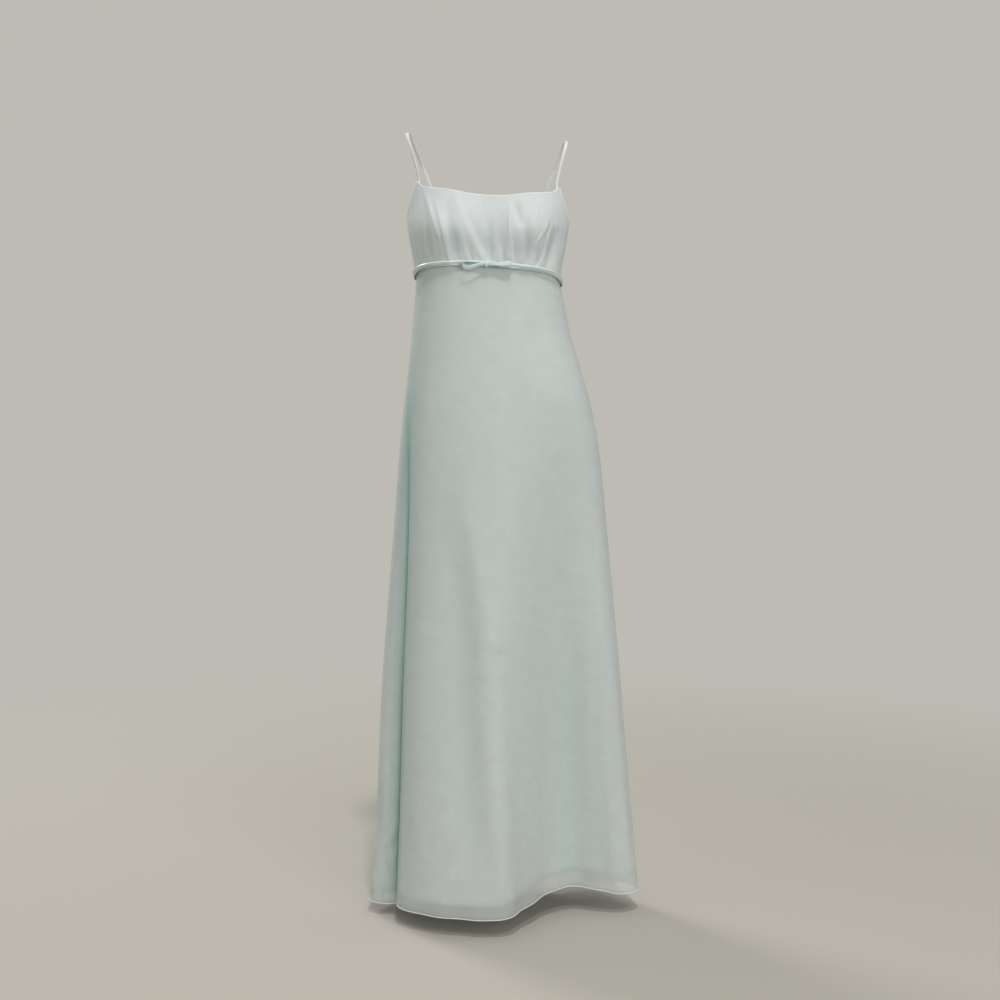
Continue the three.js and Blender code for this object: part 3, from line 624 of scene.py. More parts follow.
BODICE_CREASES = table("turn0 down0 turn1 down1 bow wide high", [
    (-49, 118, -34, 236, 0, 2.2, 1.8), (-57, 104, -46, 200, 0, 6, 2.4), (-41, 112, -29, 222, 0, 8, -5),
    (-60, 100, -41, 215, 2, 3, 1.7), (-52, 112, -44, 190, 1, 1.6, 0.6), (-35, 98, -2, 236, -2.5, 5, 2),
    (-22, 122, 4, 226, -3, 8, -1.6), (-17, 132, -2, 242, -1, 1.8, 1.2), (2, 150, 2, 225, 0, 4, -1.3),
    (23, 125, 25, 238, -2, 2, 1.6), (28, 120, 32, 172, 1, 5.5, -4), (33, 180, 31, 238, 0, 1.8, 1),
    (36, 140, 38, 240, 1, 6.5, -5), (54, 148, 50, 180, 1.5, 1.5, 1.6), (51, 176, 44, 206, -1, 1.5, 2.6),
    (45, 200, 41, 238, 1, 1.5, 2.2), (57, 156, 52, 190, 1, 2.6, -2), (53, 184, 45, 236, 2, 2.6, -2.6),
    (47, 196, 43, 236, 0, 1.2, 0.9), (62, 165, 57, 240, 1, 12, -8), (45, 110, 37, 162, 0, 1.6, 0.7),
    (49, 112, 45, 165, 0, 1.4, 0.6), (39, 114, 30, 150, 0, 1.6, 0.6), (60, 125, 68, 210, -1, 2.2, 1.1),
    (66, 185, 73, 238, 1, 2.4, 1), (-62, 138, -63, 232, 0, 2, 0.8), (-57, 135, -57, 236, 0, 1.8, 0.7),
    (-52, 160, -47, 238, 0, 1.8, 0.8), (-70, 150, -69, 240, 1, 3, 0.9), (-78, 165, -74, 250, 2, 4, 1.2),
    (74, 190, 80, 240, -3, 3, 1), (82, 180, 86, 250, 1, 4, -0.8), (-84, 180, -82, 250, 1, 4, -0.7),
    (104, 186, 100, 262, 2, 4, 1.6), (112, 200, 108, 262, -1, 3, -1.3), (122, 165, 114, 260, -2, 5, 1.8),
    (138, 180, 133, 262, 2, 4, 1.5), (149, 200, 146, 262, 1, 3, -1.2), (160, 186, 162, 262, 1, 4, 1.5),
    (172, 210, 171, 262, 0, 3, 1), (-105, 185, -101, 262, 2, 4, 1.6), (-114, 205, -111, 262, 1, 3, -1.3),
    (-124, 170, -118, 260, -2, 5, 1.8), (-141, 185, -137, 262, 2, 4, 1.4),
    (-152, 200, -150, 262, 1, 3, -1.2), (-163, 184, -160, 262, 1, 4, 1.6),
    (-173, 212, -172, 262, 0, 3, 1),
])
BODICE_THICK = 1.6
BODICE_RIPPLE = {"size": 46, "high": 0.35, "seed": 3}
# Reach and strength of the painted shade in the bodice's valleys.
BODICE_VALLEY_SHADE = {"reach": 11, "most": 1}
SEAM_DIP = {"deep": 0.6, "wide": 1.6}
GATHERS_EASED = 0.35


def with_neighbours(turns):
    """A panel's turns and one beyond each edge, so that its normals agree with the next panel's."""
    return np.concatenate([[2 * turns[0] - turns[1]], turns, [2 * turns[-1] - turns[-2]]])


def gather_height(x, down, seam, gathers):
    """Bell-shaped ridges in x that lean from foot to head and are cinched at the band."""
    height = 0
    for foot, head, top, high, wide in zip(*gathers.values()):
        up = np.clip((seam - down) / (seam - top), 0, 1)
        strength = blend(0.25, 1, smooth(up, 0.02, 0.2)) * (1 - smooth(up, 0.3, 1))
        height = height + high * strength * bell(x - blend(foot, head, up), wide)
    return height


def bodice_at(turn, share):
    """The bodice with its main gathers, from share 0 at its top edge to 1 at the waist seam."""
    turn, share = np.broadcast_arrays(np.asarray(turn, float), np.asarray(share, float))
    seam = waist_down(turn)
    down = blend(top_down(turn), seam, share)
    point = body_at(turn, down)
    front = smooth(np.cos(np.radians(turn)), 0, 0.5)
    point[..., 1] -= gather_height(point[..., 0], down, seam, GATHERS) * front
    return point


def bodice_panel(name, first, last, step, rows):
    """A panel of the bodice with its gathers, creases and a shallow dip along its sewn edges."""
    turns = even_turns(lambda turn: bodice_at(turn, 0.6), first, last, step)
    corners = [way * turn for turn in STRAP_TURN.values() for way in (1, -1)]
    turns = np.unique(np.append(turns, [turn for turn in corners if first < turn < last]))
    turn, share = np.meshgrid(with_neighbours(turns), np.linspace(0, 1, rows), indexing="ij")
    wider = bodice_at(turn, share)
    out = normals(wider)[1:-1]
    turn, share, grid = turn[1:-1], share[1:-1], wider[1:-1]
    down = -grid[..., 2]
    seam = waist_down(turn)
    front = smooth(np.cos(np.radians(turn)), 0.1, 0.6)
    height = gather_height(grid[..., 0], down, seam, FINE_GATHERS) * front
    height -= GATHERS_EASED * gather_height(grid[..., 0], down, seam, GATHERS) * front
    height += crease_height(grid, body_at, BODICE_CREASES)
    uv = cloth_uv(grid)
    to_side = nearer_side(uv)
    height += ripple(uv, **BODICE_RIPPLE) * smooth(share, 0, 0.25) * smooth(to_side, 0, 15)
    height -= SEAM_DIP["deep"] * np.exp(-(to_side / SEAM_DIP["wide"]) ** 2)
    return shell(name, grid + out * height[..., None], BODICE_THICK, FINISH["bodice"], **BODICE_VALLEY_SHADE)


PANELS = {"front": (-90, 90), "back_left": (90, 180), "back_right": (-180, -90)}
BODICE_GRIDS = {"front": (1.7, 110), "back_left": (2.4, 70), "back_right": (2.4, 70)}
for side, (first, last) in PANELS.items():
    panel = bodice_panel(f"bodice_{side}_cloth", first, last, *BODICE_GRIDS[side])
    finish_piece(panel, "bodice_cloth", f"bodice_{side}")

# %% [markdown]
# The skirt is chiffon over lining, the same flare twice. The chiffon has the creases of handling: a soft
# ridge down the front, a small pucker at the knee, a fan of short wrinkles near the hem of the back
# flute, and more of the same where the photograph doesn't look. Under the band both layers pucker a
# little, because the seam is eased in. Each panel has one very narrow strip of faces beside a seam.
# Without it, the shading at the seam would be that of the whole last strip, and two panels that meet on a
# curve would show a line there. Both layers carry painted shade: a darker tint in their valleys, and a
# stronger one down the deep fold at the wearer's right.

# %% Chiffon skirt
SKIRT_CREASES = table("turn0 down0 turn1 down1 bow wide high", [
    (-27, 620, -8, 1000, 5, 20, 6), (-9, 800, 8, 1450, -5, 22, 9), (-33, 560, -18, 1440, 5, 28, -6),
    (24, 640, 24, 1440, 3, 36, 3), (46, 560, 47, 1440, 3, 26, -6), (74, 700, 74, 1440, 1, 14, 3),
    (36, 315, 20, 368, 0, 6, 0.9), (53, 262, 34, 330, 0, 6, 0.8), (-6, 903, 3, 934, 0, 3.4, 3.2),
    (-5, 920, 6, 940, 0, 3, -2), (-92, 1330, -86, 1278, 1, 4.6, 2.8),
    (-90, 1345, -84, 1296, 1, 4.4, -2.4), (-91, 1300, -86, 1385, 1, 4.5, 2.3),
    (-94, 1345, -90, 1425, 1, 5, 2.8), (-92, 1350, -88, 1425, 1, 4.4, -2.4),
    (-96, 1360, -93, 1430, -1, 4.6, 2.3), (-93, 1150, -92, 1290, 1, 5, 2.4),
    (-98, 1190, -96, 1330, 1, 6, -2.4), (34, 600, 38, 1000, -2, 14, -1.8),
    (48, 560, 52, 1050, 2, 12, 1.3), (60, 760, 66, 1280, 2, 16, 1.4), (74, 900, 78, 1400, -2, 14, -1.3),
    (-60, 700, -58, 1250, 1, 12, -1.2), (-48, 800, -44, 1380, -2, 16, 1.3),
    (100, 700, 99, 1350, 2, 13, 1.5), (114, 820, 117, 1400, -2, 12, -1.5),
    (133, 640, 136, 1300, 2, 14, 1.4), (150, 900, 153, 1420, -2, 10, -1.4),
    (170, 700, 172, 1380, 2, 13, 1.5), (-172, 760, -171, 1400, -2, 12, -1.4),
    (-155, 640, -155, 1290, 2, 14, 1.4), (-137, 900, -137, 1420, 2, 11, -1.4),
    (-119, 700, -121, 1350, -2, 13, 1.5), (108, 1290, 112, 1390, 1, 4, 1.3),
    (110, 1300, 115, 1400, 1, 3.5, -1.1), (138, 1250, 142, 1330, 1, 4, 1.2),
    (-150, 1270, -146, 1360, 1, 4, 1.3), (-147, 1290, -143, 1370, 1, 3.5, -1.1),
])
CHIFFON_THICK = 0.6
CHIFFON_STEP = 5.6
SKIRT_ROWS = 158
SKIRT_RIPPLE = {"size": 150, "high": 0.9, "seed": 8}
SEAM_STRIP = 0.12
# Painted shade down the deep fold at the wearer's right: its turn, its width in degrees, and the levels over
# which it comes in.
DEEP_FOLD_SHADE = {"turn": -76, "wide": 9, "down": (330, 620)}
EASED = {"high": 0.55, "gone": 16, "seed": 10}
UNDER_BAND = {"deep": 1.4, "down": 5, "wide": 4.5}
FLUTTER = {"wave": 83, "drift": 130}


def eased_seam(turn, below):
    """Small puckers that fade within a few centimetres, and a dip of bell shape just under the band."""
    puckers = np.sin(np.radians(turn * 17 + 40 * np.sin(np.radians(turn * 3 + EASED["seed"]))))
    dip = UNDER_BAND["deep"] * np.exp(-((below - UNDER_BAND["down"]) / UNDER_BAND["wide"]) ** 2)
    return EASED["high"] * puckers * np.exp(-below / EASED["gone"]) - dip


def skirt_panel(name, first, last, step, rows, hem, inset, thick, material, flutter):
    """A panel of a skirt layer: its folds and creases, the eased seam under the band, a fluttering hem,
    painted shade.
    """
    turns = even_turns(lambda turn: chiffon_at(turn, 1), first, last, step)
    turns = np.sort(np.append(turns, [first + SEAM_STRIP, last - SEAM_STRIP]))
    turn, share = np.meshgrid(with_neighbours(turns), np.linspace(0, 1, rows), indexing="ij")
    top = waist_down(turn) + WAIST_PART
    down = blend(top, hem(turn), share)
    wider = skirt_at(turn, down)
    out = normals(wider)[1:-1]
    turn, share, top, down, grid = (value[1:-1] for value in (turn, share, top, down, wider))
    height = crease_height(grid, skirt_at, SKIRT_CREASES) + eased_seam(turn, down - top)
    uv = cloth_uv(grid)
    to_side = nearer_side(uv)
    wave = np.sin(uv[..., 0] * 2 * np.pi / FLUTTER["wave"] + 2 * np.sin(uv[..., 0] / FLUTTER["drift"]))
    loose = ripple(uv, **SKIRT_RIPPLE) * smooth(down, 320, 700) + flutter * wave * smooth(share, 0.93, 1)
    height += loose * smooth(to_side, 0, 35)
    grid = grid + out * (height - inset(down - top))[..., None]
    # Painted shade along the deep fold.
    deep = np.exp(-((turn - DEEP_FOLD_SHADE["turn"]) / DEEP_FOLD_SHADE["wide"]) ** 2) * smooth(down, *DEEP_FOLD_SHADE["down"])
    return grid, shell(name, grid, thick, material, deep=deep)


def widest_gap(grids):
    """The widest gap between two neighbouring panels along their seam, in millimetres."""
    around = ["back_right", "front", "back_left", "back_right"]
    return max(np.abs(grids[a][-1] - grids[b][0]).max() for a, b in zip(around, around[1:]))


chiffon_grids = {}
for side, (first, last) in PANELS.items():
    chiffon_grids[side], panel = skirt_panel(
        f"skirt_{side}_chiffon", first, last, CHIFFON_STEP, SKIRT_ROWS, hem_down, lambda below: 0 * below,
        CHIFFON_THICK, FINISH["chiffon"], flutter=1.6,
    )
    finish_piece(panel, "chiffon", f"skirt_{side}")
print("widest gap between the chiffon panels, mm:", round(widest_gap(chiffon_grids), 3))

# %% [markdown]
# The lining hangs a few millimetres inside the chiffon and ends higher. Its hem is turned up inside and
# caught with small stitches. So the lowest part of the lining gets a second thickness: the last rows of
# its grid again, set in by a little more than the cloth's own thickness.

# %% Lining
LINING_THICK = 0.6
TURNED_GAP = 0.3
LINING_STEP = 7.5
LINING_ROWS = 110
TURNED_ROWS = 4


def lining_inset(below):
    """How far the lining lies inside the chiffon, growing below the waist seam."""
    return LINING["gap"] + LINING["clear"] * smooth(below, 0, LINING["ease"])


lining_grids = {}
for side, (first, last) in PANELS.items():
    lining_grids[side], panel = skirt_panel(
        f"lining_{side}_cloth", first, last, LINING_STEP, LINING_ROWS, lining_hem_down, lining_inset,
        LINING_THICK, FINISH["lining"], flutter=0,
    )
    finish_piece(panel, "lining", f"lining_{side}")
    low = lining_grids[side][:, -TURNED_ROWS:]
    turned = low - normals(low) * (LINING_THICK + TURNED_GAP)
    finish_piece(shell(f"lining_turned_hem_{side}", turned, LINING_THICK, FINISH["lining"]), "lining")
print("widest gap between the lining panels, mm:", round(widest_gap(lining_grids), 3))

# %% [markdown]
# The chiffon's edge is rolled and overlocked with white thread, which makes a thin bright cord along the
# hem. It is a tube round the edge of the panels. Overlocking wraps the edge, so the tube swells and
# narrows once for every stitch.

# %% Rolled hem
ROLLED_HEM = {"radius": 0.95, "swell": 0.16, "stitch": 2.4, "steps": 4, "sides": 8}


def path_frames(path, up):
    """Along a path: the tangent, and two directions square to it, the first nearest to up."""
    tangent = unit(np.gradient(path, axis=0))
    across = unit(up - tangent * np.sum(up * tangent, axis=-1, keepdims=True))
    return tangent, across, np.cross(tangent, across)


def even_path(path, step):
    """The same path with points at even steps along it."""
    length = lengths(path)
    places = np.linspace(0, length[-1], max(int(length[-1] / step), 2))
    return np.stack([np.interp(places, length, path[:, k]) for k in range(3)], -1)


def overlocked_edge(name, path):
    """A tube whose radius swells once a stitch: radius + swell * cos(stitch), leaning round the tube."""
    path = even_path(path, ROLLED_HEM["stitch"] / ROLLED_HEM["steps"])
    _, across, out = path_frames(path, np.array([0.0, 0.0, 1.0]))
    angle = np.arange(ROLLED_HEM["sides"]) * 2 * np.pi / ROLLED_HEM["sides"]
    station = np.arange(len(path))[:, None] * 2 * np.pi / ROLLED_HEM["steps"]
    radius = ROLLED_HEM["radius"] + ROLLED_HEM["swell"] * np.cos(station + angle)
    profile = np.stack([radius * np.cos(angle), radius * np.sin(angle)], -1)
    return tube(name, rings_along(path, across, out, profile), FINISH["thread"])


for side, grid in chiffon_grids.items():
    edge = grid[:, -1] - normals(grid)[:, -1] * CHIFFON_THICK / 2
    finish_piece(overlocked_edge(f"rolled_hem_{side}", edge), "trim")

# %% [markdown]
# The top edges are bound with a narrow strip of the same white cloth that folds over the edge. It is a
# rounded tube that stands on the wall's edge and reaches a little down on both sides.

# %% Bound edges
BINDING = {"high": 3.4, "thick": 2.5, "rise": 2.9}


def directions(surface, turn, share):
    """Unit vectors along a panel, down it and out of it."""
    along = unit(surface(turn + 0.1, share) - surface(turn - 0.1, share))
    down = unit(surface(turn, np.minimum(share + 0.004, 1)) - surface(turn, np.maximum(share - 0.004, 0)))
    return along, down, unit(np.cross(down, along))


def top_edge(turn):
    """A point of the bodice's top edge, and the unit vectors along it, down the cloth and out of it."""
    share = np.zeros_like(turn, float)
    return bodice_at(turn, share), *directions(bodice_at, turn, share)


def binding(name, first, last):
    """An oval tube along the top edge, from one turn to another, a little uneven as hand-turned cloth is."""
    turns = even_turns(lambda turn: bodice_at(turn, 0), first + 0.3, last - 0.3, 1.6)
    edge, _, down, out = top_edge(turns)
    along = unit(np.gradient(edge, axis=0))
    across = unit(np.cross(along, out))
    across *= -np.sign(np.sum(across * down, axis=-1, keepdims=True))
    centre = edge - out * BODICE_THICK / 2 + across * (BINDING["rise"] - BINDING["high"] / 2)
    uneven = 1 + 0.05 * np.sin(np.arange(len(turns)) * 0.9) * np.sin(np.arange(len(turns)) * 0.23)
    profile = oval(BINDING["high"], BINDING["thick"], 2.6, 14) * uneven[:, None, None]
    return tube(name, rings_along(centre, across, out, profile), FINISH["trim"])


EDGES = {
    "neckline_binding": (-STRAP_TURN["front"], STRAP_TURN["front"]),
    "armhole_binding_left": (STRAP_TURN["front"], STRAP_TURN["back"]),
    "armhole_binding_right": (-STRAP_TURN["back"], -STRAP_TURN["front"]),
    "back_binding_left": (STRAP_TURN["back"], 180),
    "back_binding_right": (-180, -STRAP_TURN["back"]),
}
for name, (first, last) in EDGES.items():
    finish_piece(binding(f"{name}_cloth", first, last), "trim", name)

# %% [markdown]
# Each strap is a flat tube of cloth, turned and pressed. It is sewn inside the bodice in front and
# behind, and runs taut over the shoulder. Its path is a smooth curve through seven places, and it turns
# from lying against the bodice to lying flat on the shoulder. Each end is held by a bar tack of three
# long stitches.

# %% Straps
STRAP = {"wide": 6, "thick": 1.8, "tail": 12, "inside": 3.8}
SHOULDER = {"arch": 36, "fall": 9, "left": (141, -7.8), "right": (-145, 7.5)}
BAR_TACK = {"down": 8, "rows": (-1, 0, 1), "proud": 0.05, "size": np.array([2.4, 0.42, 0.3])}


def spline(route, steps):
    """A centripetal curve through a route: between two places it is a cubic that heeds the two beyond."""
    ends = np.concatenate([2 * route[:1] - route[1:2], route, 2 * route[-1:] - route[-2:-1]])
    pieces = []
    for p0, p1, p2, p3 in zip(ends, ends[1:], ends[2:], ends[3:]):
        d0, d1, d2 = (np.sqrt(np.linalg.norm(b - a)) for a, b in ((p0, p1), (p1, p2), (p2, p3)))
        slope1 = (p1 - p0) / d0 - (p2 - p0) / (d0 + d1) + (p2 - p1) / d1
        slope2 = (p2 - p1) / d1 - (p3 - p1) / (d1 + d2) + (p3 - p2) / d2
        t = np.linspace(0, 1, steps, endpoint=False)[:, None]
        pieces.append(cubic(t, d1, p1, p2, slope1, slope2))
    return np.concatenate([*pieces, route[-1:]])


def sewn(turn, above):
    """A point of a strap's middle line beside the bodice: inside its top edge, and so far above it."""
    edge, _, down, out = top_edge(turn)
    return edge - out * STRAP["inside"] - down * above


def strap(name, side, way):
    """A flat oval carried along the strap's route, with a pressed seam down its inner face."""
    x, z = SHOULDER[side]
    route = np.array([
        sewn(way * STRAP_TURN["front"], -STRAP["tail"]),
        sewn(way * STRAP_TURN["front"], 6),
        (x, -SHOULDER["arch"], z - SHOULDER["fall"]),
        (x, 0, z - 1),
        (x - way * 4, SHOULDER["arch"], z - SHOULDER["fall"]),
        sewn(way * STRAP_TURN["back"], 8),
        sewn(way * STRAP_TURN["back"], -STRAP["tail"]),
    ])
    path = even_path(spline(route, 60), 2.5)
    share = np.linspace(0, 1, len(path))[:, None]
    faces = [top_edge(way * turn)[3] for turn in STRAP_TURN.values()]
    facing = np.where(share < 0.5, faces[0], faces[1])
    on_shoulder = smooth(share, 0.14, 0.42) * (1 - smooth(share, 0.58, 0.86))
    facing = blend(facing, np.array([0.0, 0.0, 1.0]), on_shoulder)
    tangent = unit(np.gradient(path, axis=0))
    across = unit(np.cross(facing, tangent))
    out = np.cross(tangent, across)
    profile = oval(STRAP["wide"], STRAP["thick"], 2.8, 16)
    pressed = 0.25 * np.exp(-((profile[:, 0] - 1.2) / 0.35) ** 2) * np.sign(profile[:, 1])
    profile[:, 1] -= pressed
    uneven = 1 + 0.04 * np.sin(share * 90 + way) * np.sin(share * 31)
    return tube(name, rings_along(path, across, out, profile * uneven[..., None]), FINISH["trim"])


for side, way in (("left", 1), ("right", -1)):
    finish_piece(strap(f"strap_{side}_cloth", side, way), "trim", f"strap_{side}")
    for end, turn in STRAP_TURN.items():
        _, along, down, out = top_edge(way * turn)
        rows = sewn(way * turn, -BAR_TACK["down"]) + np.outer(BAR_TACK["rows"], down)
        bar = rows - out * (STRAP["thick"] / 2 + BAR_TACK["proud"])
        axes = np.tile(np.stack([along, down, out]), (len(bar), 1, 1))
        tack = repeated(f"bar_tack_{side}_{end}", bar, axes, BAR_TACK["size"], FINISH["thread"])
        finish_piece(tack, "trim")

# %% [markdown]
# The band is a bias strip folded over on itself, so it isn't flat: it has a rounded upper fold that
# catches the light, a few long pressed creases that wander up and down, and places where it twists. Its
# section is an oval whose front face is pushed in or out along those creases. Shade is painted on it:
# its troughs, its lower edge, the band under the bow and a little of its lower half are darker.

# %% Waistband
BAND = {"high": 10.5, "thick": 3, "clear": 0.5, "square": 2.3, "sides": 40, "step": 0.45}
BAND_SECTION = table("level wide high", [(3.3, 1.1, 1.4), (0.6, 1.4, -0.6)])
BAND_FOLDS = table("turn0 level0 turn1 level1 wide high", [
    (-90, 1.6, -44, 2.6, 0.9, 0.5), (-74, -2.8, -36, -1.4, 0.8, -0.5), (-40, 3.4, -27, -4.4, 0.7, 0.75),
    (-36, 2.2, 4, 1.2, 0.9, 0.45), (-30, -2.2, -8, -3, 0.8, -0.45), (4, 2.6, 24, 3, 0.8, 0.45),
    (13, 4.4, 24, -4.6, 0.7, 0.85), (25, -1.4, 62, -2.6, 0.9, -0.5), (22, 2.8, 70, 1.8, 0.8, 0.5),
    (52, 3.6, 88, 0.4, 0.8, 0.5), (95, 2.4, 140, 1.6, 0.9, 0.5), (110, -2.6, 176, -2, 0.8, -0.5),
    (146, 3.6, 160, -3.6, 0.8, 0.6), (-176, 2.2, -130, 2.8, 0.9, 0.5), (-150, -2.4, -96, -2.2, 0.8, -0.5),
    (-128, 3.6, -114, -3.8, 0.8, 0.6),
])


def band_frame(turn):
    """The band's middle, the way up it and the way out of it, from the bodice above and the skirt below."""
    half = BAND["high"] / 2
    upper = bodice_at(turn, 1 - half / (waist_down(turn) - top_down(turn)))
    lower = skirt_at(turn, waist_down(turn) + half)
    across = unit(upper - lower)
    along = unit(chiffon_at(turn + 0.1, 0 * turn) - chiffon_at(turn - 0.1, 0 * turn))
    out = unit(np.cross(along, across))
    middle = (upper + lower) / 2
    under = np.stack([bodice_at(turn, 0 * turn + 1), chiffon_at(turn, 0 * turn)])
    proud = np.maximum(np.sum((under - middle) * out, axis=-1).max(0), 0)
    return middle + out * (proud + BAND["clear"] + BAND["thick"] / 2)[..., None], across, out


def band(name, first, last):
    """The folded band: an oval section with wandering ridges and troughs, a fuller upper fold, and painted
    shade.
    """
    turns = np.linspace(first, last, int((last - first) / BAND["step"]) + 1)
    centre, across, out = band_frame(turns)
    flat = oval(BAND["high"], BAND["thick"], BAND["square"], BAND["sides"])
    profile = np.broadcast_to(flat, (len(turns), BAND["sides"], 2))
    level, depth = profile[..., 0], profile[..., 1].copy()
    face = smooth(depth, 0, 0.8)
    for middle, wide, high in zip(*BAND_SECTION.values()):
        depth += face * high * np.exp(-((level - middle) / wide) ** 2)
    relief = 0
    for turn0, level0, turn1, level1, wide, high in zip(*BAND_FOLDS.values()):
        t = (turns[:, None] - turn0) / (turn1 - turn0)
        fade = np.sin(np.pi * np.clip(t, 0, 1)) ** 0.5
        line = blend(level0, level1, t) + 0.4 * np.sin(turns[:, None] * 0.31)
        relief = relief + high * fade * bell(level - line, wide)
    depth += relief * face
    # Painted shade: the troughs, the lower edge, the band under the bow's shadow and its lower half are
    # darkened.
    trough_shade = np.clip(-relief / 0.5, 0, 1) * 0.5
    bow_shadow = np.exp(-((turns[:, None] - 4) / 8) ** 4)
    under = 0.95 * smooth(-level, 3.5, 4.7) + 0.7 * bow_shadow * smooth(-level, 0.5, 2.5)
    painted_shade = np.clip(trough_shade + under + 0.22 * smooth(-level, -2, 1.5), 0, 1)
    width = 1 + 0.035 * np.sin(np.radians(turns * 11)) * np.sin(np.radians(turns * 4.3 + 50))
    profile = np.stack([level * width[:, None], depth], -1)
    return tube(name, rings_along(centre, across, out, profile), FINISH["band"], painted_shade=painted_shade)


for side, (first, last) in PANELS.items():
    finish_piece(band(f"waistband_{side}_cloth", first, last), "band_cloth", f"waistband_{side}")

# %% [markdown]
# The bow is flat and small, two loops of ribbon and a knot, without tails. A loop leaves the knot, runs
# out along the band, turns at its tip and comes back in front. One loop hangs open, so one looks into it.
# Near the knot the ribbon is squeezed and pleated, and it spreads towards the tip. Shade is painted on
# the inside of each loop and on the lower half of its front layer.

# %% Bow
BOW = {"centre": -2, "reach": 43, "high": 9.5, "thick": 1.0, "deep": 9.8, "neck": 0.28}
RIBBON = {"square": 4, "sides": 36, "rings": 170}
LOOPS = {
    "left": {"way": 1, "droop": 2.5, "lift": 1.2, "full": 0.62, "lean": -12, "open": 0, "sag": 0},
    "right": {"way": -1, "droop": 6.5, "lift": 1.6, "full": 1, "lean": 21, "open": 8, "sag": 4},
}
PLEATS = {"every": 2.7, "high": 0.5, "fade": 1.3}
KNOT = {"wide": 6.5, "high": 10.6, "deep": 9, "clear": 0.3, "square": 3.2, "pleat": 0.045, "pleats": 11}
band_middle = band_frame(np.array([0.0]))[0][0]
bow_middle = band_middle[1] - BAND["thick"] / 2 - KNOT["clear"] - KNOT["deep"] / 2


def loop_line(side, share):
    """The middle line of a loop, a teardrop seen from above: narrow at the knot and full at its tip."""
    loop = LOOPS[side]
    out = np.sin(np.pi * share) ** 0.8
    apart = loop["full"] * (BOW["neck"] + (1 - BOW["neck"]) * np.sin(np.pi * share) ** 0.8)
    cosine = np.cos(np.pi * share)
    forward = -np.sign(cosine) * np.abs(cosine) ** 0.6 * apart / 2
    start = KNOT["wide"] / 2 - 1.2
    x = BOW["centre"] + loop["way"] * (start + (BOW["reach"] - start) * out)
    lower = loop["droop"] * (forward / loop["full"] + 0.5)
    rise = 1.5 * smooth(out, 0.6, 1) * (loop["way"] > 0)
    sag = loop["sag"] * np.exp(-((share - 0.78) / 0.13) ** 2)
    z = band_middle[2] + (loop["lift"] - lower) * out + rise - sag
    return np.stack([x, bow_middle - BOW["deep"] * forward, z], -1)


def bow_loop(name, side):
    """A ribbon along the loop's line that leans forward, squeezed and pleated where it enters the knot, with
    painted shade.
    """
    share = np.linspace(0.002, 0.998, RIBBON["rings"])
    line = loop_line(side, share)
    tangent, across, out = path_frames(line, np.array([0.0, 0.0, 1.0]))
    front = unit(np.array([0.0, -1.0, 0.0]) - tangent * -tangent[:, 1:2])
    lean = np.radians(LOOPS[side]["lean"] + LOOPS[side]["open"] * (1 - smooth(share, 0.3, 0.6)))[:, None]
    spread = smooth(np.sin(np.pi * share), 0, 0.75)[:, None]
    across = unit(across * np.cos(lean * spread) + front * np.sin(lean * spread))
    out = np.cross(tangent, across)
    flat = oval(BOW["high"], BOW["thick"], RIBBON["square"], RIBBON["sides"])
    profile = np.broadcast_to(flat, (len(share), RIBBON["sides"], 2))
    level, depth = profile[..., 0], profile[..., 1]
    pleats = PLEATS["high"] * np.cos(level * 2 * np.pi / PLEATS["every"]) * (1 - spread) ** PLEATS["fade"]
    wave = 0.3 * np.sin(share * 9)[:, None] * np.sin(level * 0.5)
    profile = np.stack([level * blend(0.6, 1, spread), depth + pleats + wave], -1)
    # Painted shade: the inner face, strongest on the back layer, and the lower half of the front layer are
    # darkened.
    inner = smooth(depth * LOOPS[side]["way"], 0, 0.3) * smooth(share, 0.02, 0.1)[:, None]
    back = (1 - smooth(share, 0.45, 0.55))[:, None]
    lower = smooth(-level, -1.5, 4.6) * (1 - back)
    painted_shade = np.clip(inner * blend(0.3, 0.85, back) + 0.6 * lower, 0, 1)
    return tube(name, rings_along(line, across, out, profile), FINISH["band"], painted_shade=painted_shade)


def bow_knot(name):
    """A rounded block wrapped by the ribbon: a squared ellipsoid with pleats that run round it."""
    round_x = np.linspace(0, 2 * np.pi, 72, endpoint=False)
    across = np.linspace(-1, 1, 45)[1:-1]
    reach = (1 - np.abs(across) ** KNOT["square"]) ** (1 / KNOT["square"])
    pleat = 1 + KNOT["pleat"] * np.cos(across[None] * KNOT["pleats"] + 0.9 * np.sin(round_x[:, None]))
    ring = reach[None] * pleat
    x = np.broadcast_to(across * KNOT["wide"] / 2, ring.shape)
    y = ring * np.cos(round_x)[:, None] * KNOT["deep"] / 2
    z = ring * np.sin(round_x)[:, None] * KNOT["high"] / 2
    rings = np.stack([x + BOW["centre"], y + bow_middle, z + band_middle[2]], -1).transpose(1, 0, 2)
    return tube(name, rings, FINISH["band"])


for side in LOOPS:
    finish_piece(bow_loop(f"bow_loop_{side}_ribbon", side), "band_cloth", f"bow_loop_{side}")
finish_piece(bow_knot("bow_knot_wrap"), "band_cloth", "bow_knot")

TACK = {"turn": 4.4, "proud": 0.1, "below": 4.4, "size": np.array([0.9, 0.7, 0.8])}
tack_centre, tack_across, tack_out = band_frame(np.array([TACK["turn"]]))
tack_place = tack_centre + tack_out * (BAND["thick"] / 2 + TACK["proud"]) - tack_across * TACK["below"]
tack_axes = np.stack([np.cross(tack_across, tack_out), tack_out, tack_across], 1)
tack = repeated("bow_tack", tack_place, tack_axes, TACK["size"], FINISH["thread"], sides=12, rows=5)
finish_piece(tack, "trim")

# %% [markdown]
# The zip is closed. Its tape lies inside the back, with two rows of small teeth that interlock on the
# middle line. The teeth are one joined mesh: a tooth is a squashed ball of a few faces, repeated by
# adding an offset array, so no loop runs over them.

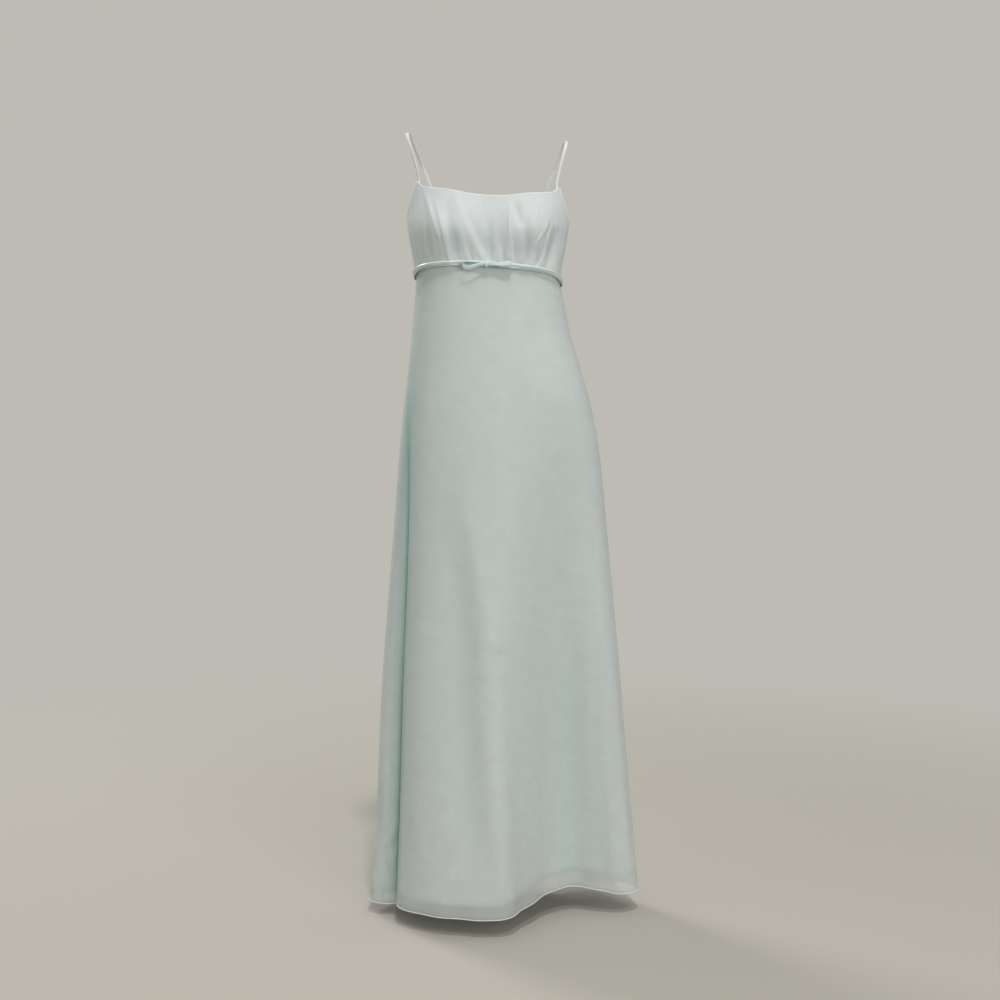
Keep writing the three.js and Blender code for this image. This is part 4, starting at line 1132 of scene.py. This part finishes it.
# %% Zip
ZIP = {"wide": 20, "thick": 0.9, "inside": 0.8, "in_bodice": 2, "in_lining": 1, "bottom": 392, "pitch": 1.5}
TAPE = {"square": 5, "sides": 40, "rings": 140}
CORD = {"at": 3.2, "wide": 0.6, "thicker": 0.5}
TOOTH = {"first": 14, "last": 6, "proud": 0.45, "apart": 0.75, "size": np.array([1.35, 0.5, 0.42])}


def zip_frame(down):
    """The tape's middle line inside the back walls, the way across it and the way out of the gown."""
    top, seam = top_down(180.0), waist_down(180.0)
    above = down < seam
    share_above = np.clip((down - top) / (seam - top), 0, 1)
    share_below = np.clip((down - seam) / (hem_down(np.float64(180)) - seam), 0, 1)
    turn = np.full_like(down, 180.0)
    _, down_a, out_a = directions(bodice_at, turn, share_above)
    _, down_b, out_b = directions(chiffon_at, turn, share_below)
    inset_b = lining_inset(down - seam) + ZIP["in_lining"]
    point = np.where(above[:, None], bodice_at(turn, share_above), chiffon_at(turn, share_below))
    out = np.where(above[:, None], out_a, out_b)
    way_down = np.where(above[:, None], down_a, down_b)
    inset = np.where(above, ZIP["in_bodice"], inset_b) + ZIP["inside"] + ZIP["thick"] / 2
    return point - out * inset[:, None], unit(np.cross(way_down, out)), out


def zip_tape(name):
    """The woven tape: a flat strip with a thicker cord on each side of the teeth."""
    down = np.linspace(top_down(180.0) + 1, ZIP["bottom"], TAPE["rings"])
    centre, across, out = zip_frame(down)
    profile = oval(ZIP["wide"], ZIP["thick"], TAPE["square"], TAPE["sides"])
    cord = np.exp(-((np.abs(profile[:, 0]) - CORD["at"]) / CORD["wide"]) ** 2)
    profile[:, 1] *= 1 + CORD["thicker"] * cord
    return tube(name, rings_along(centre, across, out, profile), FINISH["tape"])


def zip_teeth(name):
    """Two rows of teeth, each half a pitch from the other, on the inner face of the tape."""
    down = np.arange(top_down(180.0) + TOOTH["first"], ZIP["bottom"] - TOOTH["last"], ZIP["pitch"] / 2)
    centre, across, out = zip_frame(down)
    side = np.where(np.arange(len(down)) % 2, 1.0, -1.0)[:, None]
    centre = centre - out * (ZIP["thick"] / 2 + TOOTH["proud"]) + across * side * TOOTH["apart"]
    axes = np.stack([across, out, np.cross(across, out)], 1)
    return repeated(name, centre, axes, TOOTH["size"], FINISH["trim"])


finish_piece(zip_tape("zip_tape_woven"), "zip_tape", "zip_tape")
finish_piece(zip_teeth("zip_teeth"), "zip_tape")

# %% [markdown]
# The slider and its pull are small pieces of painted metal. Their solids already have the real form, so
# they stay, and get a finish: paint over metal, a little orange-peel, and a gloss that varies finely.

# %% Painted metal
PAINT_GRAIN = {"Scale": 900}
PAINT_ROUGH = {"To Min": 0.25, "To Max": 0.5}


def painted_metal(name, colour):
    """Glossy paint whose roughness varies with a fine noise, and a faint orange-peel bump."""
    material, add, shade = new_material(name)
    place = add("TexCoord").outputs["Object"]
    grain = add("TexNoise", {"Vector": place, **PAINT_GRAIN}).outputs["Fac"]
    rough = add("MapRange", {"Value": grain, **PAINT_ROUGH})
    peel = add("Bump", {"Height": grain, "Strength": 0.2, "Distance": 0.05 * MM})
    shade(Base_Color=(*colour, 1), Metallic=0.35, Coat_Weight=0.3, Roughness=rough.outputs["Result"],
          Normal=peel.outputs["Normal"])
    return material


zip_paint = painted_metal("zip_paint", (0.55, 0.62, 0.60))
for name in ("zip_slider", "zip_pull"):
    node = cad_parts[name]
    node.data.materials.clear()
    node.data.materials.append(zip_paint)

# %% [markdown]
# Stitches are small, but they are what tells sewn cloth from moulded shapes. The rows that show are the
# ones that hold the bindings and the blind stitches of the lining's hem. Each stitch is a squashed ball
# along its row.

# %% Stitches
EDGE_STITCH = {"down": 1.9, "proud": 0.1}
LINING_HEM = 26


def stitch_row(name, path, facing, every, length, thick):
    """Stitches along a path: one every so many millimetres, lying along it and facing out."""
    whole = even_path(path, every)
    face = np.stack([np.interp(np.linspace(0, 1, len(whole)), np.linspace(0, 1, len(path)), facing[:, k])
                     for k in range(3)], -1)
    tangent = unit(np.gradient(whole, axis=0))
    face = unit(face - tangent * np.sum(face * tangent, axis=-1, keepdims=True))
    axes = np.stack([tangent, face, np.cross(tangent, face)], 1)
    size = np.array([length / 2, thick / 2, thick / 2])
    return repeated(name, whole, axes, size, FINISH["thread"])


for name, (first, last) in EDGES.items():
    turns = even_turns(lambda turn: bodice_at(turn, 0), first + 1, last - 1, 2)
    edge, _, down, out = top_edge(turns)
    row = edge + down * EDGE_STITCH["down"] + out * EDGE_STITCH["proud"]
    stitches = stitch_row(f"{name}_stitches", row, out, every=2.6, length=1.7, thick=0.35)
    finish_piece(stitches, "trim")

for side, grid in lining_grids.items():
    rows = grid.shape[1]
    tall = np.linalg.norm(grid[0, -1] - grid[0, 0])
    at_row = int(round((rows - 1) * (1 - LINING_HEM / tall)))
    row, face = grid[:, at_row], normals(grid)[:, at_row]
    stitches = stitch_row(f"lining_hem_stitches_{side}", row, face, every=7, length=2.6, thick=0.5)
    finish_piece(stitches, "trim")

# %% [markdown]
# The gown hangs over a plain pale floor, in front of nothing. The floor is a round sheet that fades out
# towards its edge, so that no horizon crosses the picture. Three lamps do the rest. A small key stands
# high in front, so that the bow throws a clear shadow on the skirt. A large fill stands low on the right,
# where the photograph is brighter, and rounds the folds. A third lamp behind gives the back some form
# when the camera goes round. The surroundings have two colours: a darker one that lights the cloth
# evenly, and a lighter one that only the camera sees, as the pale wall of a room.

# %% Floor, light and camera
BACKDROP = (0.515, 0.497, 0.455)
AMBIENT = (0.335, 0.35, 0.325)
FLOOR = {"height": -1.460, "radius": 4.0, "sides": 96, "solid": 0.7, "gone": 2.6}
FLOOR_PAINT = (0.56, 0.53, 0.48)
WARM = (1, 0.965, 0.955)
PALER = (1, 0.98, 0.96)
LAMPS = {
    "key_above": {"place": (0.42, -2.9, 5.0), "aim_z": -0.5, "size": 0.35, "power": 158, "colour": WARM},
    "fill_right": {"place": (2.0, -4.1, 0.2), "aim_z": -0.8, "size": 2.4, "power": 54, "colour": WARM},
    "back_soft": {"place": (-2.4, 2.6, 1.6), "aim_z": -0.5, "size": 1.2, "power": 62, "colour": PALER},
}


def fading_floor(name, colour):
    """Matt paint that turns transparent between two radii, measured from the middle in object space."""
    material, add, shade = new_material(name)
    place = add("TexCoord").outputs["Object"]
    flat = add("VectorMath", {0: place, 1: (1, 1, 0)}, operation="MULTIPLY").outputs["Vector"]
    far = add("VectorMath", {0: flat}, operation="LENGTH").outputs["Value"]
    fade = add("MapRange", {
        "Value": far, "From Min": FLOOR["solid"], "From Max": FLOOR["gone"], "To Min": 1, "To Max": 0,
    }, interpolation_type="SMOOTHSTEP")
    shade(Base_Color=(*colour, 1), Roughness=0.9, Alpha=fade.outputs["Result"])
    return material


angle = np.arange(FLOOR["sides"]) * 2 * np.pi / FLOOR["sides"]
rim = np.stack([FLOOR["radius"] * np.cos(angle), FLOOR["radius"] * np.sin(angle)], -1)
rim = np.insert(rim, 2, FLOOR["height"], axis=1) / MM
paint = fading_floor("floor_paint", FLOOR_PAINT)
put_mesh("floor", rim, np.arange(len(rim)), np.array([len(rim)]), rim[:, :2], paint)


def area_light(name, place, aim_z, size, power, colour):
    """A square area light at a place, turned towards a point on the gown's middle line."""
    light = bpy.data.lights.new(name, "AREA")
    light.size, light.energy, light.color = size, power, colour
    holder = new_object(name, light)
    holder.location = place
    holder.rotation_euler = (Vector((0, 0, aim_z)) - Vector(place)).to_track_quat("-Z", "Y").to_euler()


for name, lamp in LAMPS.items():
    area_light(name, **lamp)
    print(f"{name}: {lamp['power']} W")

world = bpy.data.worlds.new("pale_room")
world.use_nodes = True
add = node_maker(world.node_tree)
seen = add("LightPath").outputs["Is Camera Ray"]
wall = add("Mix", {"Factor": seen, "A": (*AMBIENT, 1), "B": (*BACKDROP, 1)}, data_type="RGBA")
fill(world.node_tree.links, world.node_tree.nodes["Background"], {"Color": wall.outputs["Result"]})
bpy.context.scene.world = world
bpy.context.scene.view_settings.view_transform = "Standard"

CAMERA = {"place": (0.0219, -3.19, -0.3602), "pitch": 5.44, "focal_px": 1722, "frame_px": 1000, "sensor": 36}
camera = bpy.data.cameras.new("camera")
camera.sensor_width = CAMERA["sensor"]
camera.lens = CAMERA["focal_px"] / CAMERA["frame_px"] * CAMERA["sensor"]
holder = new_object("camera", camera)
holder.location = CAMERA["place"]
holder.rotation_euler = (math.radians(90 - CAMERA["pitch"]), 0, 0)
bpy.context.scene.camera = holder
print("lens, mm:", round(camera.lens, 1))

# %% [markdown]
# Last, each panel's cut is listed: its flat size, its area, how it is held and what it hangs from, and
# each panel and the edges sewn to it are looked up by name.

# %% Finish
BODICE_CUTS = {
    "front": ((0.50, 0.17), 0.062, "gathered", "strap_left_cloth"),
    "back_left": ((0.225, 0.145), 0.024, "hung", "strap_left_cloth"),
    "back_right": ((0.225, 0.145), 0.024, "hung", "strap_right_cloth"),
}
SKIRT_CUTS = {
    "front": ((0.69, 1.21), 0.66),
    "back_left": ((0.41, 1.19), 0.355),
    "back_right": ((0.44, 1.20), 0.38),
}
LAYERS = {
    "skirt": ("chiffon", ["rolled_hem"]),
    "lining": ("cloth", ["lining_turned_hem", "lining_hem_stitches"]),
}


def declare(name, flat, area, held, hangs_from, edges=()):
    """Looks up a piece and the pieces sewn to its edges. Its cut, area, hold and what it hangs from are not
    used.
    """
    piece, *edges = (bpy.data.objects[each] for each in (name, *edges))


for side, cut in BODICE_CUTS.items():
    declare(f"bodice_{side}_cloth", *cut)
for layer, (cloth, edges) in LAYERS.items():
    for side, (flat, area) in SKIRT_CUTS.items():
        sewn_on = [f"{edge}_{side}" for edge in edges]
        declare(f"{layer}_{side}_{cloth}", flat, area, "hung", f"waistband_{side}_cloth", sewn_on)
